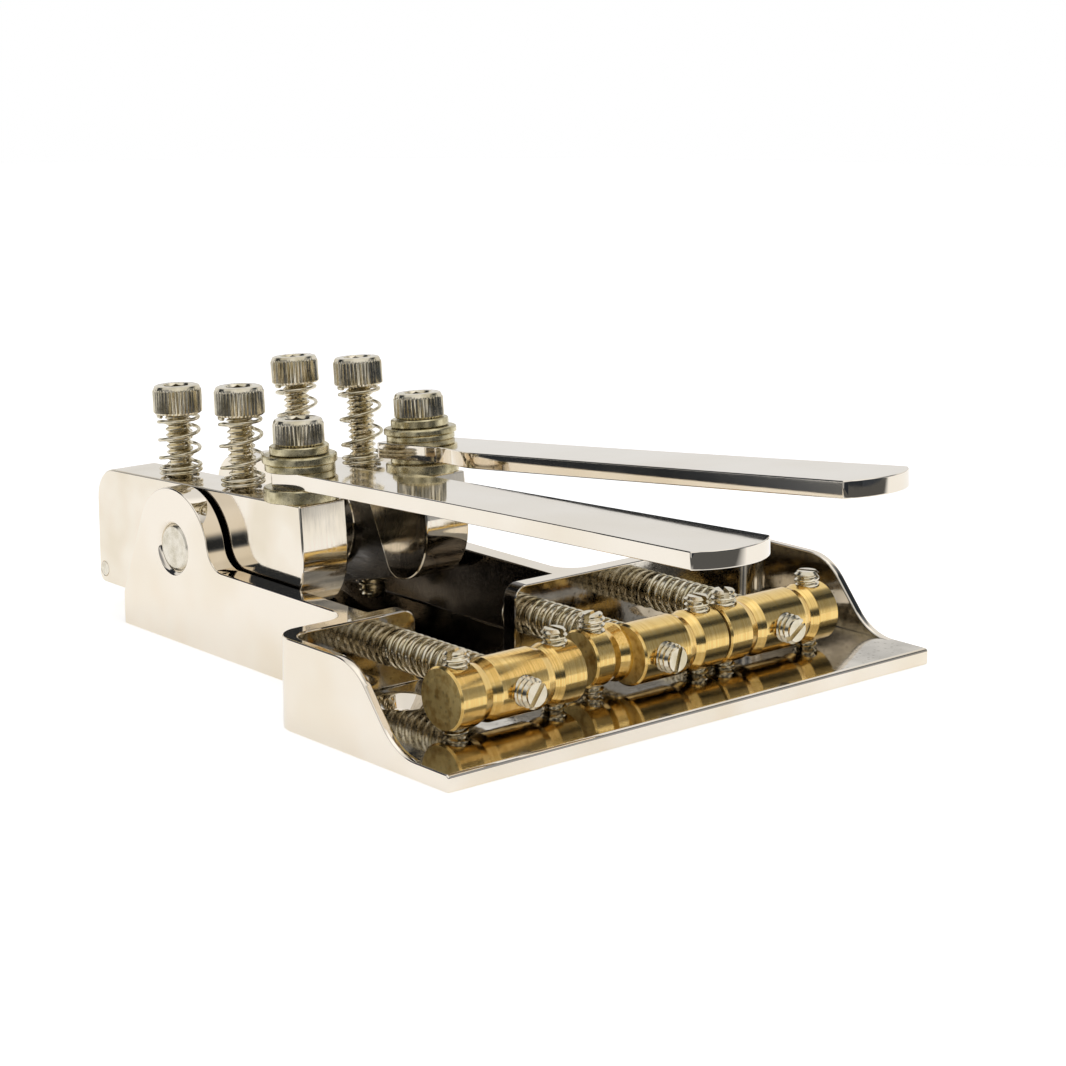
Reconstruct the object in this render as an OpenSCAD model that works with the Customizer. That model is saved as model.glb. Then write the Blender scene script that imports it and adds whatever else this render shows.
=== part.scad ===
// Guitar bridge with two string-bending levers.
// Millimetres, +Z up. X runs across the strings from the treble side to the bass side,
// Y runs back along the strings. The origin is the middle of the row of mounting screws,
// on the underside of the plate.

/* [Plate] */
// Width of the saddle tray across the strings
tray_w = 82; // [80:0.5:88]
// From the screw row forward to the front lip
row_to_lip = 26.2; // [25:0.2:32]
// From the screw row back to the inner face of the rear wall
row_to_wall = 5.6; // [5:0.1:8]
// Thickness of the floor
floor_t = 2.2; // [2:0.1:2.6]
// Height of the walls above the underside
wall_h = 11.7; // [11.2:0.1:13]
// Thickness of the two side walls
side_t = 1.2; // [1:0.1:2.6]
// Thickness of the rear wall
rear_t = 2.4; // [1.8:0.1:3]
// Outer radius of the two rear corners
corner_r = 3.8; // [3:0.1:6]
// Radius of the hollow corners where the tail leaves the tray
root_r = 3.4; // [2:0.1:5]
// Bright bevel along the top edge of the lip
lip_bevel = 0.3; // [0.2:0.1:0.8]

/* [Side wall sweep] */
// From the lip back to where the wall reaches its full height
sweep_back = 21.2; // [19:0.2:23]
// From the lip back to where the sweep starts to rise
sweep_front = 6; // [4:0.2:8]
// Radius of the upper, outward curve
sweep_top_r = 7.5; // [5:0.1:8]
// Radius of the lower, hollow curve
sweep_low_r = 7.9; // [6:0.1:8.5]

/* [String notch] */
// Centre of the notch in the rear wall, across the strings
notch_x = -12; // [-13:0.1:-11]
// Width of the notch
notch_w = 16.4; // [15:0.1:17.4]
// Radius of the wall's top corners at the notch
notch_r = 2; // [1:0.1:3]
// Radius of the flare where the notch meets the floor
notch_flare = 1.2; // [0.6:0.1:1.8]

/* [Mounting holes] */
// Distance between neighbouring holes
hole_pitch = 18.1; // [17:0.1:19]
// Diameter of a mounting hole
hole_d = 4.2; // [3.6:0.1:5]
// Diameter of its countersink
sink_d = 7.8; // [6.8:0.1:9]

/* [Tail] */
// Centre of the tail across the strings
tail_x = -10.75; // [-11:0.05:-10.5]
// Width between the rails
tail_w = 30.5; // [30.1:0.1:31.5]
// Thickness of each rail
rail_t = 3; // [2.4:0.1:3.4]
// Length of the tail behind the rear wall
tail_l = 51.6; // [51:0.2:56]
// Height of the square step at the foot of the tail's end
tail_step = 4.6; // [3:0.1:6]
// Radius of the ear round the pivot
ear_r = 8.2; // [7:0.1:9]
// Radius of the hollow curve in front of the ear
ear_root_r = 3.4; // [2.4:0.1:5]
// Where the ear's round meets its straight rear edge, in degrees above level
ear_end = 22; // [15:1:35]

/* [Pivot] */
// From the rear wall's outer face back to the pivot shaft
wall_to_pivot = 39.1; // [38.6:0.1:42]
// Height of the shaft's axis above the underside
pivot_z = 13.1; // [12.8:0.1:14]
// Diameter of the shaft
shaft_d = 6.35; // [5:0.05:7]
// Room round the shaft in the ears
shaft_fit = 0.01; // [0.005:0.005:0.05]
// How far the shaft's ends lie below the faces of the ears
shaft_sink = 0.25; // [0.1:0.05:0.6]
// Bevel round the shaft's ends
shaft_bevel = 0.35; // [0.1:0.05:0.6]
// Diameter of the collars on the shaft
collar_d = 10; // [8.5:0.1:12]
// Width of the thrust washer beside the treble-side block
thrust_t = 0.5; // [0.3:0.1:0.8]

/* [Bender blocks] */
// Thickness of a block
block_w = 7.4; // [7:0.1:8]
// From one block's centre to the other's
block_pitch = 20.5; // [19:0.1:21]
// From the pivot forward to a block's front face
block_front = 24.6; // [24:0.1:26]
// From the pivot back to a block's rear face
block_rear = 24.2; // [23:0.1:27]
// Height of the top face above the pivot, over the pivot
block_top = 8.1; // [7.6:0.1:9]
// Slope of the top face, higher in front
top_slope = 3.1; // [2:0.1:4]
// Depth of the lower edge below the pivot, at the rear
block_drop = 9.8; // [9:0.1:9.9]
// Depth of the nose below the pivot
nose_drop = 5.3; // [4.5:0.1:6]
// Radius of the nose's front curve
nose_r = 6; // [4:0.1:7]
// Radius of the top rear corner
block_back_r = 4.5; // [2:0.1:6]
// Radius of the lower rear corner
block_foot_r = 1.2; // [0.5:0.1:3]
// From the pivot back to where the lower edge runs level
belly_back = 4; // [2:0.5:8]
// Depth of the string pocket milled in the inner side
pocket_d = 1.7; // [1:0.1:1.8]
// Height of the pocket's roof above the pivot
pocket_top = 5.2; // [3:0.1:5.6]
// From the pivot forward to the front of the pocket's roof
pocket_fore = 12.6; // [12:0.1:13.4]
// Radius of the pocket's front, behind the nose
pocket_heel_r = 3; // [2:0.1:3.4]
// How far the pocket's front runs past the nose's lowest point
pocket_open = 0.15; // [0.1:0.05:0.4]
// Radius of the pocket's upper front corner
pocket_roof_r = 1.8; // [1:0.1:2.4]
// Radius of the boss left standing round the shaft
boss_r = 6.6; // [5:0.1:6.8]
// Depth of the pocket's rear channel below the pivot
channel_drop = 5.2; // [4.6:0.1:6.2]
// Front-up tilt of the treble-side block at rest
b_tilt = 0; // [0:0.1:1]
// Front-up tilt of the bass-side block at rest
g_tilt = 2.2; // [0:0.1:2.4]

/* [Anchor pins] */
// Diameter of the pin that holds a string's ball end
anchor_d = 2; // [1.6:0.1:2.2]
// From the pivot back to the pin
anchor_back = 22.8; // [21:0.1:22.9]
// From the pivot down to the pin
anchor_down = 7.8; // [6.8:0.1:8]

/* [Screws of the blocks] */
// Outer diameter of the screws' thread
screw_d = 3.7; // [3.2:0.1:3.9]
// Diameter of the knurled heads
head_d = 6.7; // [6:0.1:7.2]
// Height of the heads
head_h = 3.9; // [3.4:0.1:4.4]
// Bevel at the tips of these screws
tip_bevel = 0.8; // [0.4:0.1:1]
// Height of the lever bolts' heads
bolt_head_h = 3.4; // [3:0.1:4.2]
// Bevel round the top of the heads
head_bevel = 0.55; // [0.2:0.05:0.8]
// Across flats of the hexagon socket
hex_af = 3.2; // [2.5:0.1:3.6]
// Depth of the hexagon socket
hex_deep = 2.2; // [1.2:0.1:2.6]
// From the pivot forward to the lever bolt, along the top face
bolt_fore = 20.2; // [19.6:0.1:20.6]
// From the pivot forward to the stop screw
stop_fore = 7.1; // [6.9:0.1:7.6]
// From the pivot back to the tuning screw
tune_back = 7.8; // [7.4:0.1:9]
// Length of the lever bolt's thread below the block's top
bolt_deep = 9; // [6:0.5:9.5]
// How far the levers can be pressed, in degrees
bend_angle = 8; // [4:0.5:8]
// Tuning screw of the treble-side block: height of the head's underside above the block
b_tune_rise = 8.7; // [8:0.1:12]
// Stop screw of the treble-side block: the same height
b_stop_rise = 9.8; // [8:0.1:12]
// Tuning screw of the bass-side block: the same height
g_tune_rise = 10.8; // [8:0.1:12]
// Stop screw of the bass-side block: the same height
g_stop_rise = 11.2; // [8:0.1:12]

/* [Levers] */
// Thickness of a lever
lever_t = 2.1; // [1.8:0.1:3]
// From the bolt forward to the lever's tip
lever_l = 79.9; // [60:0.1:84]
// From the bolt back to the lever's square end
lever_tail = 3.3; // [3:0.1:4]
// From the bolt out to the outer edge, beside the bolt
neck_out = 2.7; // [2.6:0.1:4]
// From the bolt in to the inner edge, beside the bolt
neck_in = 5.4; // [4:0.1:6]
// From the bolt's line out to the outer edge, at the tip
tip_out = 4.7; // [3.5:0.1:5.2]
// From the bolt's line in to the inner edge, in front of the neck
tip_in = 7.6; // [6:0.1:7.8]
// Radius of the tip
tip_r = 8.7; // [7.5:0.1:14]
// From the bolt forward to the end of the neck
neck_l = 8; // [6:0.5:10]
// From the bolt forward to the end of the flare
flare_l = 18; // [14:0.5:24]
// Radius of the two rear corners
lever_corner_r = 0.8; // [0.4:0.1:1.5]
// Swivel of the bass-side lever, outwards
g_swivel_angle = 5; // [3:0.2:8]

/* [Washers] */
// Diameter of the upper flat washer and of the washer on the block
washer_d = 9.8; // [9.2:0.1:10.4]
// Diameter of the lower flat washer, on the lever
small_washer_d = 9.2; // [8.2:0.1:9.8]
// Thickness of a flat washer over the treble-side lever
b_washer_t = 1.05; // [0.6:0.05:1.2]
// Thickness of a flat washer over the bass-side lever
g_washer_t = 0.85; // [0.6:0.05:1.2]
// Thickness of the washer on the treble-side block
b_under_t = 1.8; // [1:0.1:2]
// Thickness of the washer on the bass-side block
g_under_t = 1.5; // [1:0.1:2]
// Diameter of the spacer under the bass-side lever
spacer_d = 8.4; // [7.6:0.1:9]
// Thickness of the spacer
spacer_t = 0.9; // [0.6:0.1:1.2]
// Diameter of the lock washers
lock_d = 7.8; // [7:0.1:8]
// Thickness of the lock washers
lock_t = 1.2; // [0.8:0.05:1.3]
// Slit of the lock washer
lock_slit = 0.7; // [0.4:0.1:1]
// Direction of the slit, in degrees round from +X
slit_turn = 200; // [0:10:350]

/* [Saddles] */
// Diameter of the barrels
barrel_d = 7.94; // [7:0.02:8.4]
// From the lip back to the barrels' axis
lip_to_barrel = 11.3; // [10.6:0.1:12]
// Gap between the barrels and the floor
barrel_gap = 0.76; // [0.5:0.02:1]
// Length of the treble and bass barrels
barrel_l = 19.8; // [18.5:0.1:20]
// Place of the treble barrel's middle across the strings
treble_x = -22.9; // [-23.4:0.1:-22.4]
// Place of the middle barrel's intonation screw
middle_x = 0.2; // [-0.2:0.1:0.6]
// Place of the bass barrel's middle
bass_x = 21.5; // [21.3:0.1:22.5]
// Place of the middle barrel's step
mid_step_x = -3.4; // [-3.6:0.1:-3]
// Length of the middle barrel to the right of its step
mid_right_l = 14.6; // [13.5:0.1:14.7]
// Length of the middle barrel to the left of its step
mid_left_l = 5.8; // [5.6:0.1:6.4]
// Set-back of the middle barrel's left part
mid_back = 2.2; // [1.4:0.1:2.4]
// Diameter of the middle barrel's left part
mid_left_d = 7.5; // [7:0.1:7.9]
// From a side barrel's middle to each of its string grooves
side_groove = 4.9; // [4.4:0.1:5.6]
// From the middle intonation screw to the groove on its right
mid_right_groove = 5.4; // [4.6:0.1:6]
// From the step to the groove on its left
mid_left_groove = 1.7; // [1.5:0.1:2]
// Width of a string groove
groove_w = 2.6; // [1.6:0.1:3]
// Depth of a string groove
groove_deep = 0.4; // [0.2:0.05:0.6]
// Bevel at the barrels' ends
barrel_bevel = 0.25; // [0.1:0.05:0.4]

/* [Saddle screws] */
// Diameter of the intonation screws
tone_d = 3.8; // [3.4:0.1:4]
// How far their tips stand proud of the barrels
tone_proud = 1.9; // [0.4:0.1:2.4]
// Diameter of their heads behind the wall
tone_head_d = 5.6; // [5:0.1:5.6]
// Height of their heads
tone_head_h = 2.2; // [1.6:0.1:2.6]
// From a barrel's end in to its height screw
grub_in = 2.2; // [2:0.1:3]
// Diameter of the height screws
grub_d = 3.3; // [2.8:0.1:3.6]
// How far their tops stand above the barrels
grub_proud = 1.7; // [0.4:0.1:2]
// Width of the screwdriver slots
slot_w = 0.7; // [0.5:0.05:0.9]
// Depth of the screwdriver slots
slot_deep = 0.9; // [0.5:0.05:1.2]

/* [Springs] */
// Wire of the four block springs
adj_wire = 0.5; // [0.4:0.05:0.6]
// Outer diameter of the block springs
adj_spring_d = 6; // [5.6:0.1:6.6]
// Number of wide curls in a block spring
adj_wide = 3; // [2:0.5:4]
// Gap between the close curls at a block spring's ends
adj_close_gap = 0.45; // [0.42:0.01:0.6]
// Wire of the three intonation springs
tone_wire = 0.45; // [0.35:0.05:0.5]
// Outer diameter of the intonation springs
tone_spring_d = 5.2; // [5:0.1:5.6]
// Number of curls in an intonation spring
tone_curls = 12; // [9:1:13]

/* [Clearances] */
// Play of the shaft in the blocks and of screws in their threads, per side
play = 0.05; // [0.03:0.01:0.08]
// Play of the screws in plain holes, per side
loose = 0.2; // [0.1:0.05:0.3]
// Play of the tuning screw's tip over the floor
tip_gap = 0.05; // [0.02:0.01:0.1]
// Play of the stop screw's tip over the floor when a lever is pressed all the way
stop_gap = 0.1; // [0.08:0.01:0.3]

/* [Hidden] */
$fn = 64;
e = 0.01;

// Places along the strings
lip_y = -row_to_lip;
wall_in_y = row_to_wall;
wall_out_y = wall_in_y + rear_t;
pivot_y = wall_out_y + wall_to_pivot;
tail_end_y = wall_out_y + tail_l;
barrel_y = lip_y + lip_to_barrel;
barrel_z = floor_t + barrel_gap + barrel_d / 2;

// Places across the strings, for the tail and what it carries
block_side = block_w / 2;
rail_in_x = [tail_x - tail_w / 2, tail_x + tail_w / 2];
rail_out_x = [rail_in_x[0] - rail_t, rail_in_x[1] + rail_t];
b_x = rail_in_x[0] + thrust_t + block_side;
g_x = b_x + block_pitch;

// Places of the saddles across the strings
saddle_x = [treble_x, middle_x, bass_x];
mid_left_x = mid_step_x - mid_left_l;
mid_right_x = mid_step_x + mid_right_l;
side_grub = barrel_l / 2 - grub_in;

// Threads and holes
tap_r = screw_d / 2 + play;
tone_tap_r = tone_d / 2 + play;
grub_tap_r = grub_d / 2 + play;
top_tan = tan(top_slope);
tip_flat = screw_d / 2 - tip_bevel;

// Distance along the top face's normal from the pivot to that face
top_n = block_top * cos(top_slope);

function rot2(p, a) = [p[0] * cos(a) - p[1] * sin(a), p[0] * sin(a) + p[1] * cos(a)];
function arc(c, r, a0, a1, n) =
    [for (i = [0:n]) c + r * [cos(a0 + (a1 - a0) * i / n), sin(a0 + (a1 - a0) * i / n)]];

// Turns a profile drawn as (Y, Z) into a plate of thickness t that starts at x
module side_plate(x, t) {
    translate([x, 0, 0])
        rotate([90, 0, 90])
            linear_extrude(t) children();
}

// A rod along X, from x0 to x1
module x_rod(x0, x1, d) {
    translate([x0, 0, 0])
        rotate([0, 90, 0])
            cylinder(d = d, h = x1 - x0);
}

// The tray seen from above, drawn in by m on the sides and at the back
module tray_outline(m, y_front, y_back) {
    w = tray_w / 2 - m;
    r = corner_r - min(m, 1);
    difference() {
        translate([-w, y_front]) square([2 * w, y_back - y_front]);
        for (s = [-1, 1])
            translate([s * (w - r), y_back - r])
                difference() {
                    translate([s > 0 ? 0 : -r - 1, 0]) square([r + 1, r + 1]);
                    circle(r);
                }
    }
}

// Profile of a side wall, in (Y, Z): low at the lip, then a sweep up to full height
module sweep_cut() {
    y1 = lip_y + sweep_back;
    y0 = lip_y + sweep_front;
    top = [y1, wall_h - sweep_top_r];
    low = [y0, floor_t + sweep_low_r];
    d = top - low;
    gap = norm(d);
    lean = atan2(d[1], d[0]) + asin((sweep_top_r + sweep_low_r) / gap);
    polygon(concat(
        [[lip_y - 1, floor_t], [y0, floor_t]],
        arc(low, sweep_low_r, -90, lean - 90, 12),
        arc(top, sweep_top_r, lean + 90, 90, 12),
        [[y1, wall_h + 1], [lip_y - 1, wall_h + 1]]));
}

// Profile of a rail and its ear, in (Y, Z)
module rail_profile() {
    cz = wall_h + ear_root_r;
    cy = pivot_y - sqrt(pow(ear_r + ear_root_r, 2) - pow(cz - pivot_z, 2));
    turn = atan2(cz - pivot_z, cy - pivot_y);
    polygon(concat(
        [[wall_in_y + 0.1, 0], [wall_in_y + 0.1, wall_h]],
        arc([cy, cz], ear_root_r, -90, turn - 180, 8),
        arc([pivot_y, pivot_z], ear_r, turn, ear_end, 28),
        [[tail_end_y, tail_step], [tail_end_y, 0]]));
}

module mounting_hole(x) {
    translate([x, 0, -1]) cylinder(d = hole_d, h = floor_t + 2);
    translate([x, 0, floor_t - (sink_d - hole_d) / 2])
        cylinder(d1 = hole_d, d2 = sink_d, h = (sink_d - hole_d) / 2);
    translate([x, 0, floor_t - e]) cylinder(d = sink_d, h = 1);
}

// The hollow corner between the tray's rear wall and a rail, s is the side it lies on
module root_fillet(x, s) {
    difference() {
        translate([s > 0 ? x : x - root_r, wall_out_y - 0.5, 0])
            cube([root_r, root_r + 0.5, wall_h]);
        translate([x + s * root_r, wall_out_y + root_r, -1])
            cylinder(r = root_r, h = wall_h + 2);
    }
}

module bridge_plate() {
    color("silver") difference() {
        union() {
            linear_extrude(floor_t) tray_outline(0, lip_y, wall_out_y);
            difference() {
                linear_extrude(wall_h) tray_outline(0, lip_y, wall_out_y);
                translate([0, 0, floor_t])
                    linear_extrude(wall_h) tray_outline(side_t, lip_y - 1, wall_in_y);
                side_plate(-tray_w, 2 * tray_w) sweep_cut();
                string_notch();
            }
            for (i = [0, 1])
                side_plate(min(rail_in_x[i], rail_out_x[i]), rail_t) rail_profile();
            translate([rail_out_x[0], wall_in_y, 0])
                cube([rail_out_x[1] - rail_out_x[0], tail_end_y - wall_in_y, floor_t]);
            root_fillet(rail_out_x[0], -1);
            root_fillet(rail_out_x[1], 1);
        }
        lip_edge();
        for (k = [-1.5:1:1.5]) mounting_hole(k * hole_pitch);
        for (x = saddle_x)
            translate([x, wall_in_y - 1, barrel_z])
                rotate([-90, 0, 0]) cylinder(r = tone_d / 2 + loose, h = rear_t + 2);
        translate([0, pivot_y, pivot_z])
            x_rod(rail_out_x[0] - 1, rail_out_x[1] + 1, shaft_d + 2 * shaft_fit);
    }
}

// The bevel along the top of the lip
module lip_edge() {
    side_plate(-tray_w, 2 * tray_w)
        polygon([[lip_y - 1, floor_t - lip_bevel - 1], [lip_y - 1, floor_t + 1],
            [lip_y + lip_bevel + 1, floor_t + 1]]);
}

// The notch that lets the bent strings through the rear wall, open at the top
module string_notch() {
    h = wall_h - floor_t;
    w = notch_w / 2;
    translate([notch_x, wall_in_y - 1, floor_t])
        rotate([90, 0, 0]) mirror([0, 0, 1])
            linear_extrude(rear_t + 2)
                difference() {
                    translate([-w - notch_r, 0]) square([2 * (w + notch_r), h + 1]);
                    for (s = [-1, 1]) notch_edge(s, w, h);
                }
}

// What is left of the wall at one edge of the notch: rounded above, flared below
module notch_edge(s, w, h) {
    difference() {
        translate([s > 0 ? w : -w - notch_r - 1, -1]) square([notch_r + 1, h + 1]);
        translate([s * (w + notch_r), h - notch_r])
            difference() {
                translate([s > 0 ? -notch_r - 1 : 0, 0]) square([notch_r + 1, notch_r + 2]);
                circle(notch_r);
            }
    }
    translate([s * w, 0])
        difference() {
            translate([s > 0 ? -notch_flare : 0, -1]) square([notch_flare, notch_flare + 1]);
            translate([-s * notch_flare, notch_flare]) circle(notch_flare);
        }
}

module pivot_shaft() {
    color("gainsboro")
        translate([0, pivot_y, pivot_z])
            rotate([0, 90, 0])
                rotate_extrude()
                    polygon([[0, rail_out_x[0] + shaft_sink],
                        [shaft_d / 2 - shaft_bevel, rail_out_x[0] + shaft_sink],
                        [shaft_d / 2, rail_out_x[0] + shaft_sink + shaft_bevel],
                        [shaft_d / 2, rail_out_x[1] - shaft_sink - shaft_bevel],
                        [shaft_d / 2 - shaft_bevel, rail_out_x[1] - shaft_sink],
                        [0, rail_out_x[1] - shaft_sink]]);
}

// A ring on the shaft between two faces
module collar(x0, x1) {
    color("lightgray")
        translate([0, pivot_y, pivot_z])
            difference() {
                x_rod(x0, x1, collar_d);
                x_rod(x0 - 1, x1 + 1, shaft_d + 2 * play);
            }
}

module thrust_washer() { collar(rail_in_x[0], b_x - block_side); }
module middle_collar() { collar(b_x + block_side, g_x - block_side); }
module outer_collar() { collar(g_x + block_side, rail_in_x[1]); }

// Moves what is drawn about the pivot to its place, turned front-up by the rest tilt
module at_pivot(x, tilt) {
    translate([x, pivot_y, pivot_z])
        rotate([-tilt, 0, 0]) children();
}

// Moves what is drawn on Z to a screw's axis: fore is measured forward of the pivot, and
// zero height is the block's top face
module on_top(fore) {
    rotate([-top_slope, 0, 0])
        translate([0, -fore, top_n]) children();
}

// Outline of a block about the pivot, in (Y, Z)
module block_outline() {
    back_y = block_rear - block_back_r;
    back = [back_y, block_top - top_tan * back_y - block_back_r / cos(top_slope)];
    nose = [nose_r - block_front, nose_r - nose_drop];
    foot = [block_rear - block_foot_r, block_foot_r - block_drop];
    polygon(concat(
        [[-block_front, block_top + top_tan * block_front]],
        arc(nose, nose_r, 180, 270, 10),
        [[belly_back, -block_drop]],
        arc(foot, block_foot_r, -90, 0, 5),
        arc(back, block_back_r, 0, 90 - top_slope, 8)));
}

// The string pocket in a block's inner side, about the pivot, in (Y, Z)
module pocket_outline() {
    heel = [nose_r - block_front, pocket_heel_r - nose_drop - pocket_open];
    roof = [pocket_roof_r - pocket_fore, pocket_top - pocket_roof_r];
    lean = 14;
    beyond = block_rear + 1;
    difference() {
        polygon(concat(
            arc(heel, pocket_heel_r, -90, -lean, 6),
            arc(roof, pocket_roof_r, 180 - lean, 90, 5),
            [[0, pocket_top], [0, -channel_drop], [beyond, -channel_drop],
                [beyond, -block_drop - 1], [heel[0], -block_drop - 1]]));
        circle(boss_r);
    }
}

// A bender block, with side = 1 where its inner side faces +X
module bender_block(x, tilt, side) {
    color("lightgray") at_pivot(x, tilt) difference() {
        side_plate(-block_side, block_w) block_outline();
        side_plate(side > 0 ? block_side - pocket_d : -block_side - 1, pocket_d + 1)
            pocket_outline();
        x_rod(-block_w, block_w, shaft_d + 2 * play);
        translate([0, anchor_back, -anchor_down]) x_rod(-block_w, block_w, anchor_d);
        on_top(bolt_fore) translate([0, 0, -bolt_deep - 1]) cylinder(r = tap_r, h = bolt_deep + 2);
        on_top(stop_fore) translate([0, 0, -30]) cylinder(r = tap_r, h = 40);
        on_top(-tune_back) translate([0, 0, -30]) cylinder(r = tap_r, h = 40);
    }
}

module b_bender_block() { bender_block(b_x, b_tilt, 1); }
module g_bender_block() { bender_block(g_x, g_tilt, -1); }

module anchor_pin(x, tilt) {
    color("gray") at_pivot(x, tilt)
        translate([0, anchor_back, -anchor_down])
            x_rod(-block_side, block_side, anchor_d);
}

module b_anchor_pin() { anchor_pin(b_x, b_tilt); }
module g_anchor_pin() { anchor_pin(g_x, g_tilt); }

// A cap screw standing on z = 0 with its head of height h above, and a thread that reaches
// down by deep
module cap_screw(deep, h = head_h) {
    r = head_d / 2;
    s = screw_d / 2;
    foot = 0.2;
    difference() {
        rotate_extrude()
            polygon([[0, -deep], [tip_flat, -deep], [s, tip_bevel - deep], [s, 0], [r - foot, 0],
                [r, foot], [r, h - head_bevel], [r - head_bevel, h], [0, h]]);
        translate([0, 0, h - hex_deep])
            cylinder(d = hex_af / cos(30), h = hex_deep + 1, $fn = 6);
    }
}

// How far below the block's top a screw's tip reaches, for a tip that lies lift above the
// floor: fore is the screw's place, and the cosine takes the screw's lean into account
function tip_depth(fore, tilt, lift) =
    let (lean = top_slope + tilt)
    let (top_z = pivot_z + rot2([-fore, top_n], -lean)[1])
    (top_z - floor_t - lift) / cos(lean) - tip_flat * tan(lean);

// The height that the stop screw's tip starts from: its rear edge is the lower one at rest,
// and its front edge lands after the full bend
function stop_lift(tilt) =
    let (lean = top_slope + tilt)
    (stop_fore - tip_flat) * sin(lean) - (stop_fore + tip_flat) * sin(lean - bend_angle) + stop_gap;

module tuning_screw(x, tilt, rise) {
    color("silver") at_pivot(x, tilt) on_top(-tune_back)
        translate([0, 0, rise]) cap_screw(rise + tip_depth(-tune_back, tilt, tip_gap));
}

module stop_screw(x, tilt, rise) {
    color("silver") at_pivot(x, tilt) on_top(stop_fore)
        translate([0, 0, rise]) cap_screw(rise + tip_depth(stop_fore, tilt, stop_lift(tilt)));
}

module b_tuning_screw() { tuning_screw(b_x, b_tilt, b_tune_rise); }
module g_tuning_screw() { tuning_screw(g_x, g_tilt, g_tune_rise); }
module b_stop_screw() { stop_screw(b_x, b_tilt, b_stop_rise); }
module g_stop_screw() { stop_screw(g_x, g_tilt, g_stop_rise); }

// The stacks on the lever bolts, measured up from the blocks' tops: the levers' undersides
// and the heads' undersides
b_lever_z = b_under_t;
g_lever_z = g_under_t + spacer_t;
b_bolt_z = b_lever_z + lever_t + 2 * b_washer_t + lock_t;
g_bolt_z = g_lever_z + lever_t + 2 * g_washer_t + lock_t;

module ring(z, t, d, hole) {
    translate([0, 0, z])
        difference() {
            cylinder(d = d, h = t);
            translate([0, 0, -1]) cylinder(d = hole, h = t + 2);
        }
}

module lever_bolt(x, tilt, z) {
    color("silver") at_pivot(x, tilt) on_top(bolt_fore)
        translate([0, 0, z]) cap_screw(z + bolt_deep - 0.5, bolt_head_h);
}

module lock_washer(x, tilt, z) {
    color("darkkhaki") at_pivot(x, tilt) on_top(bolt_fore)
        difference() {
            ring(z, lock_t, lock_d, screw_d + 2 * loose);
            translate([0, 0, z - 1])
                rotate([0, 0, slit_turn]) translate([0, -lock_slit / 2, 0])
                    cube([lock_d, lock_slit, lock_t + 2]);
        }
}

module flat_washer(x, tilt, z, t, d) {
    color("khaki") at_pivot(x, tilt) on_top(bolt_fore)
        ring(z, t, d, screw_d + 2 * loose);
}

module b_lever_bolt() { lever_bolt(b_x, b_tilt, b_bolt_z); }
module b_lock_washer() { lock_washer(b_x, b_tilt, b_bolt_z - lock_t); }
module b_upper_washer() {
    flat_washer(b_x, b_tilt, b_lever_z + lever_t + b_washer_t, b_washer_t, washer_d);
}
module b_lower_washer() {
    flat_washer(b_x, b_tilt, b_lever_z + lever_t, b_washer_t, small_washer_d);
}
module b_under_washer() { flat_washer(b_x, b_tilt, 0, b_under_t, washer_d); }
module g_lever_bolt() { lever_bolt(g_x, g_tilt, g_bolt_z); }
module g_lock_washer() { lock_washer(g_x, g_tilt, g_bolt_z - lock_t); }
module g_upper_washer() {
    flat_washer(g_x, g_tilt, g_lever_z + lever_t + g_washer_t, g_washer_t, washer_d);
}
module g_lower_washer() {
    flat_washer(g_x, g_tilt, g_lever_z + lever_t, g_washer_t, small_washer_d);
}
module g_spacer() { flat_washer(g_x, g_tilt, g_under_t, spacer_t, spacer_d); }
module g_under_washer() { flat_washer(g_x, g_tilt, 0, g_under_t, washer_d); }

// Outline of a lever seen from above, its bolt at the origin, its outer edge on -X. The outer
// edge leaves the neck straight and widens as a parabola
module lever_outline() {
    r = lever_corner_r;
    tip = [(tip_in - tip_out) / 2, tip_r - lever_l];
    a = asin((tip_in + tip_out) / 2 / tip_r);
    rear = lever_tail - r;
    front = tip[1] - tip_r * cos(a);
    steps = 8;
    polygon(concat(
        arc([r - neck_out, rear], r, 90, 180, 4),
        [for (i = [1:steps - 1])
            let (t = i / steps)
            [-neck_out - (tip_out - neck_out) * t * t, rear + (front - rear) * t]],
        arc(tip, tip_r, -90 - a, -90 + a, 16),
        [for (i = [0:steps])
            let (t = i / steps)
            [tip_in - (tip_in - neck_in) * (1 - cos(180 * t)) / 2,
                -flare_l + (flare_l - neck_l) * t]],
        arc([neck_in - r, rear], r, 0, 90, 4)));
}

// side = 1 where the lever's wide edge lies towards +X, z = height of its underside
module lever(x, tilt, side, swivel, z) {
    color("whitesmoke") at_pivot(x, tilt) on_top(bolt_fore)
        rotate([0, 0, swivel])
            difference() {
                translate([0, 0, z])
                    linear_extrude(lever_t)
                        mirror([side > 0 ? 0 : 1, 0]) lever_outline();
                cylinder(r = screw_d / 2 + play, h = z + 2 * lever_t);
            }
}

module b_lever() { lever(b_x, b_tilt, 1, 0, b_lever_z); }
module g_lever() { lever(g_x, g_tilt, -1, g_swivel_angle, g_lever_z); }

// Half profile of a barrel from x0 to x1, with V grooves at the places in list g
module barrel(x0, x1, d, g) {
    r = d / 2;
    c = barrel_bevel;
    rotate([0, 90, 0])
        rotate_extrude()
            polygon(concat(
                [[0, x0], [r - c, x0], [r, x0 + c]],
                [for (x = g, k = [-1:1]) [k == 0 ? r - groove_deep : r, x + k * groove_w / 2]],
                [[r, x1 - c], [r - c, x1], [0, x1]]));
}

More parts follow.
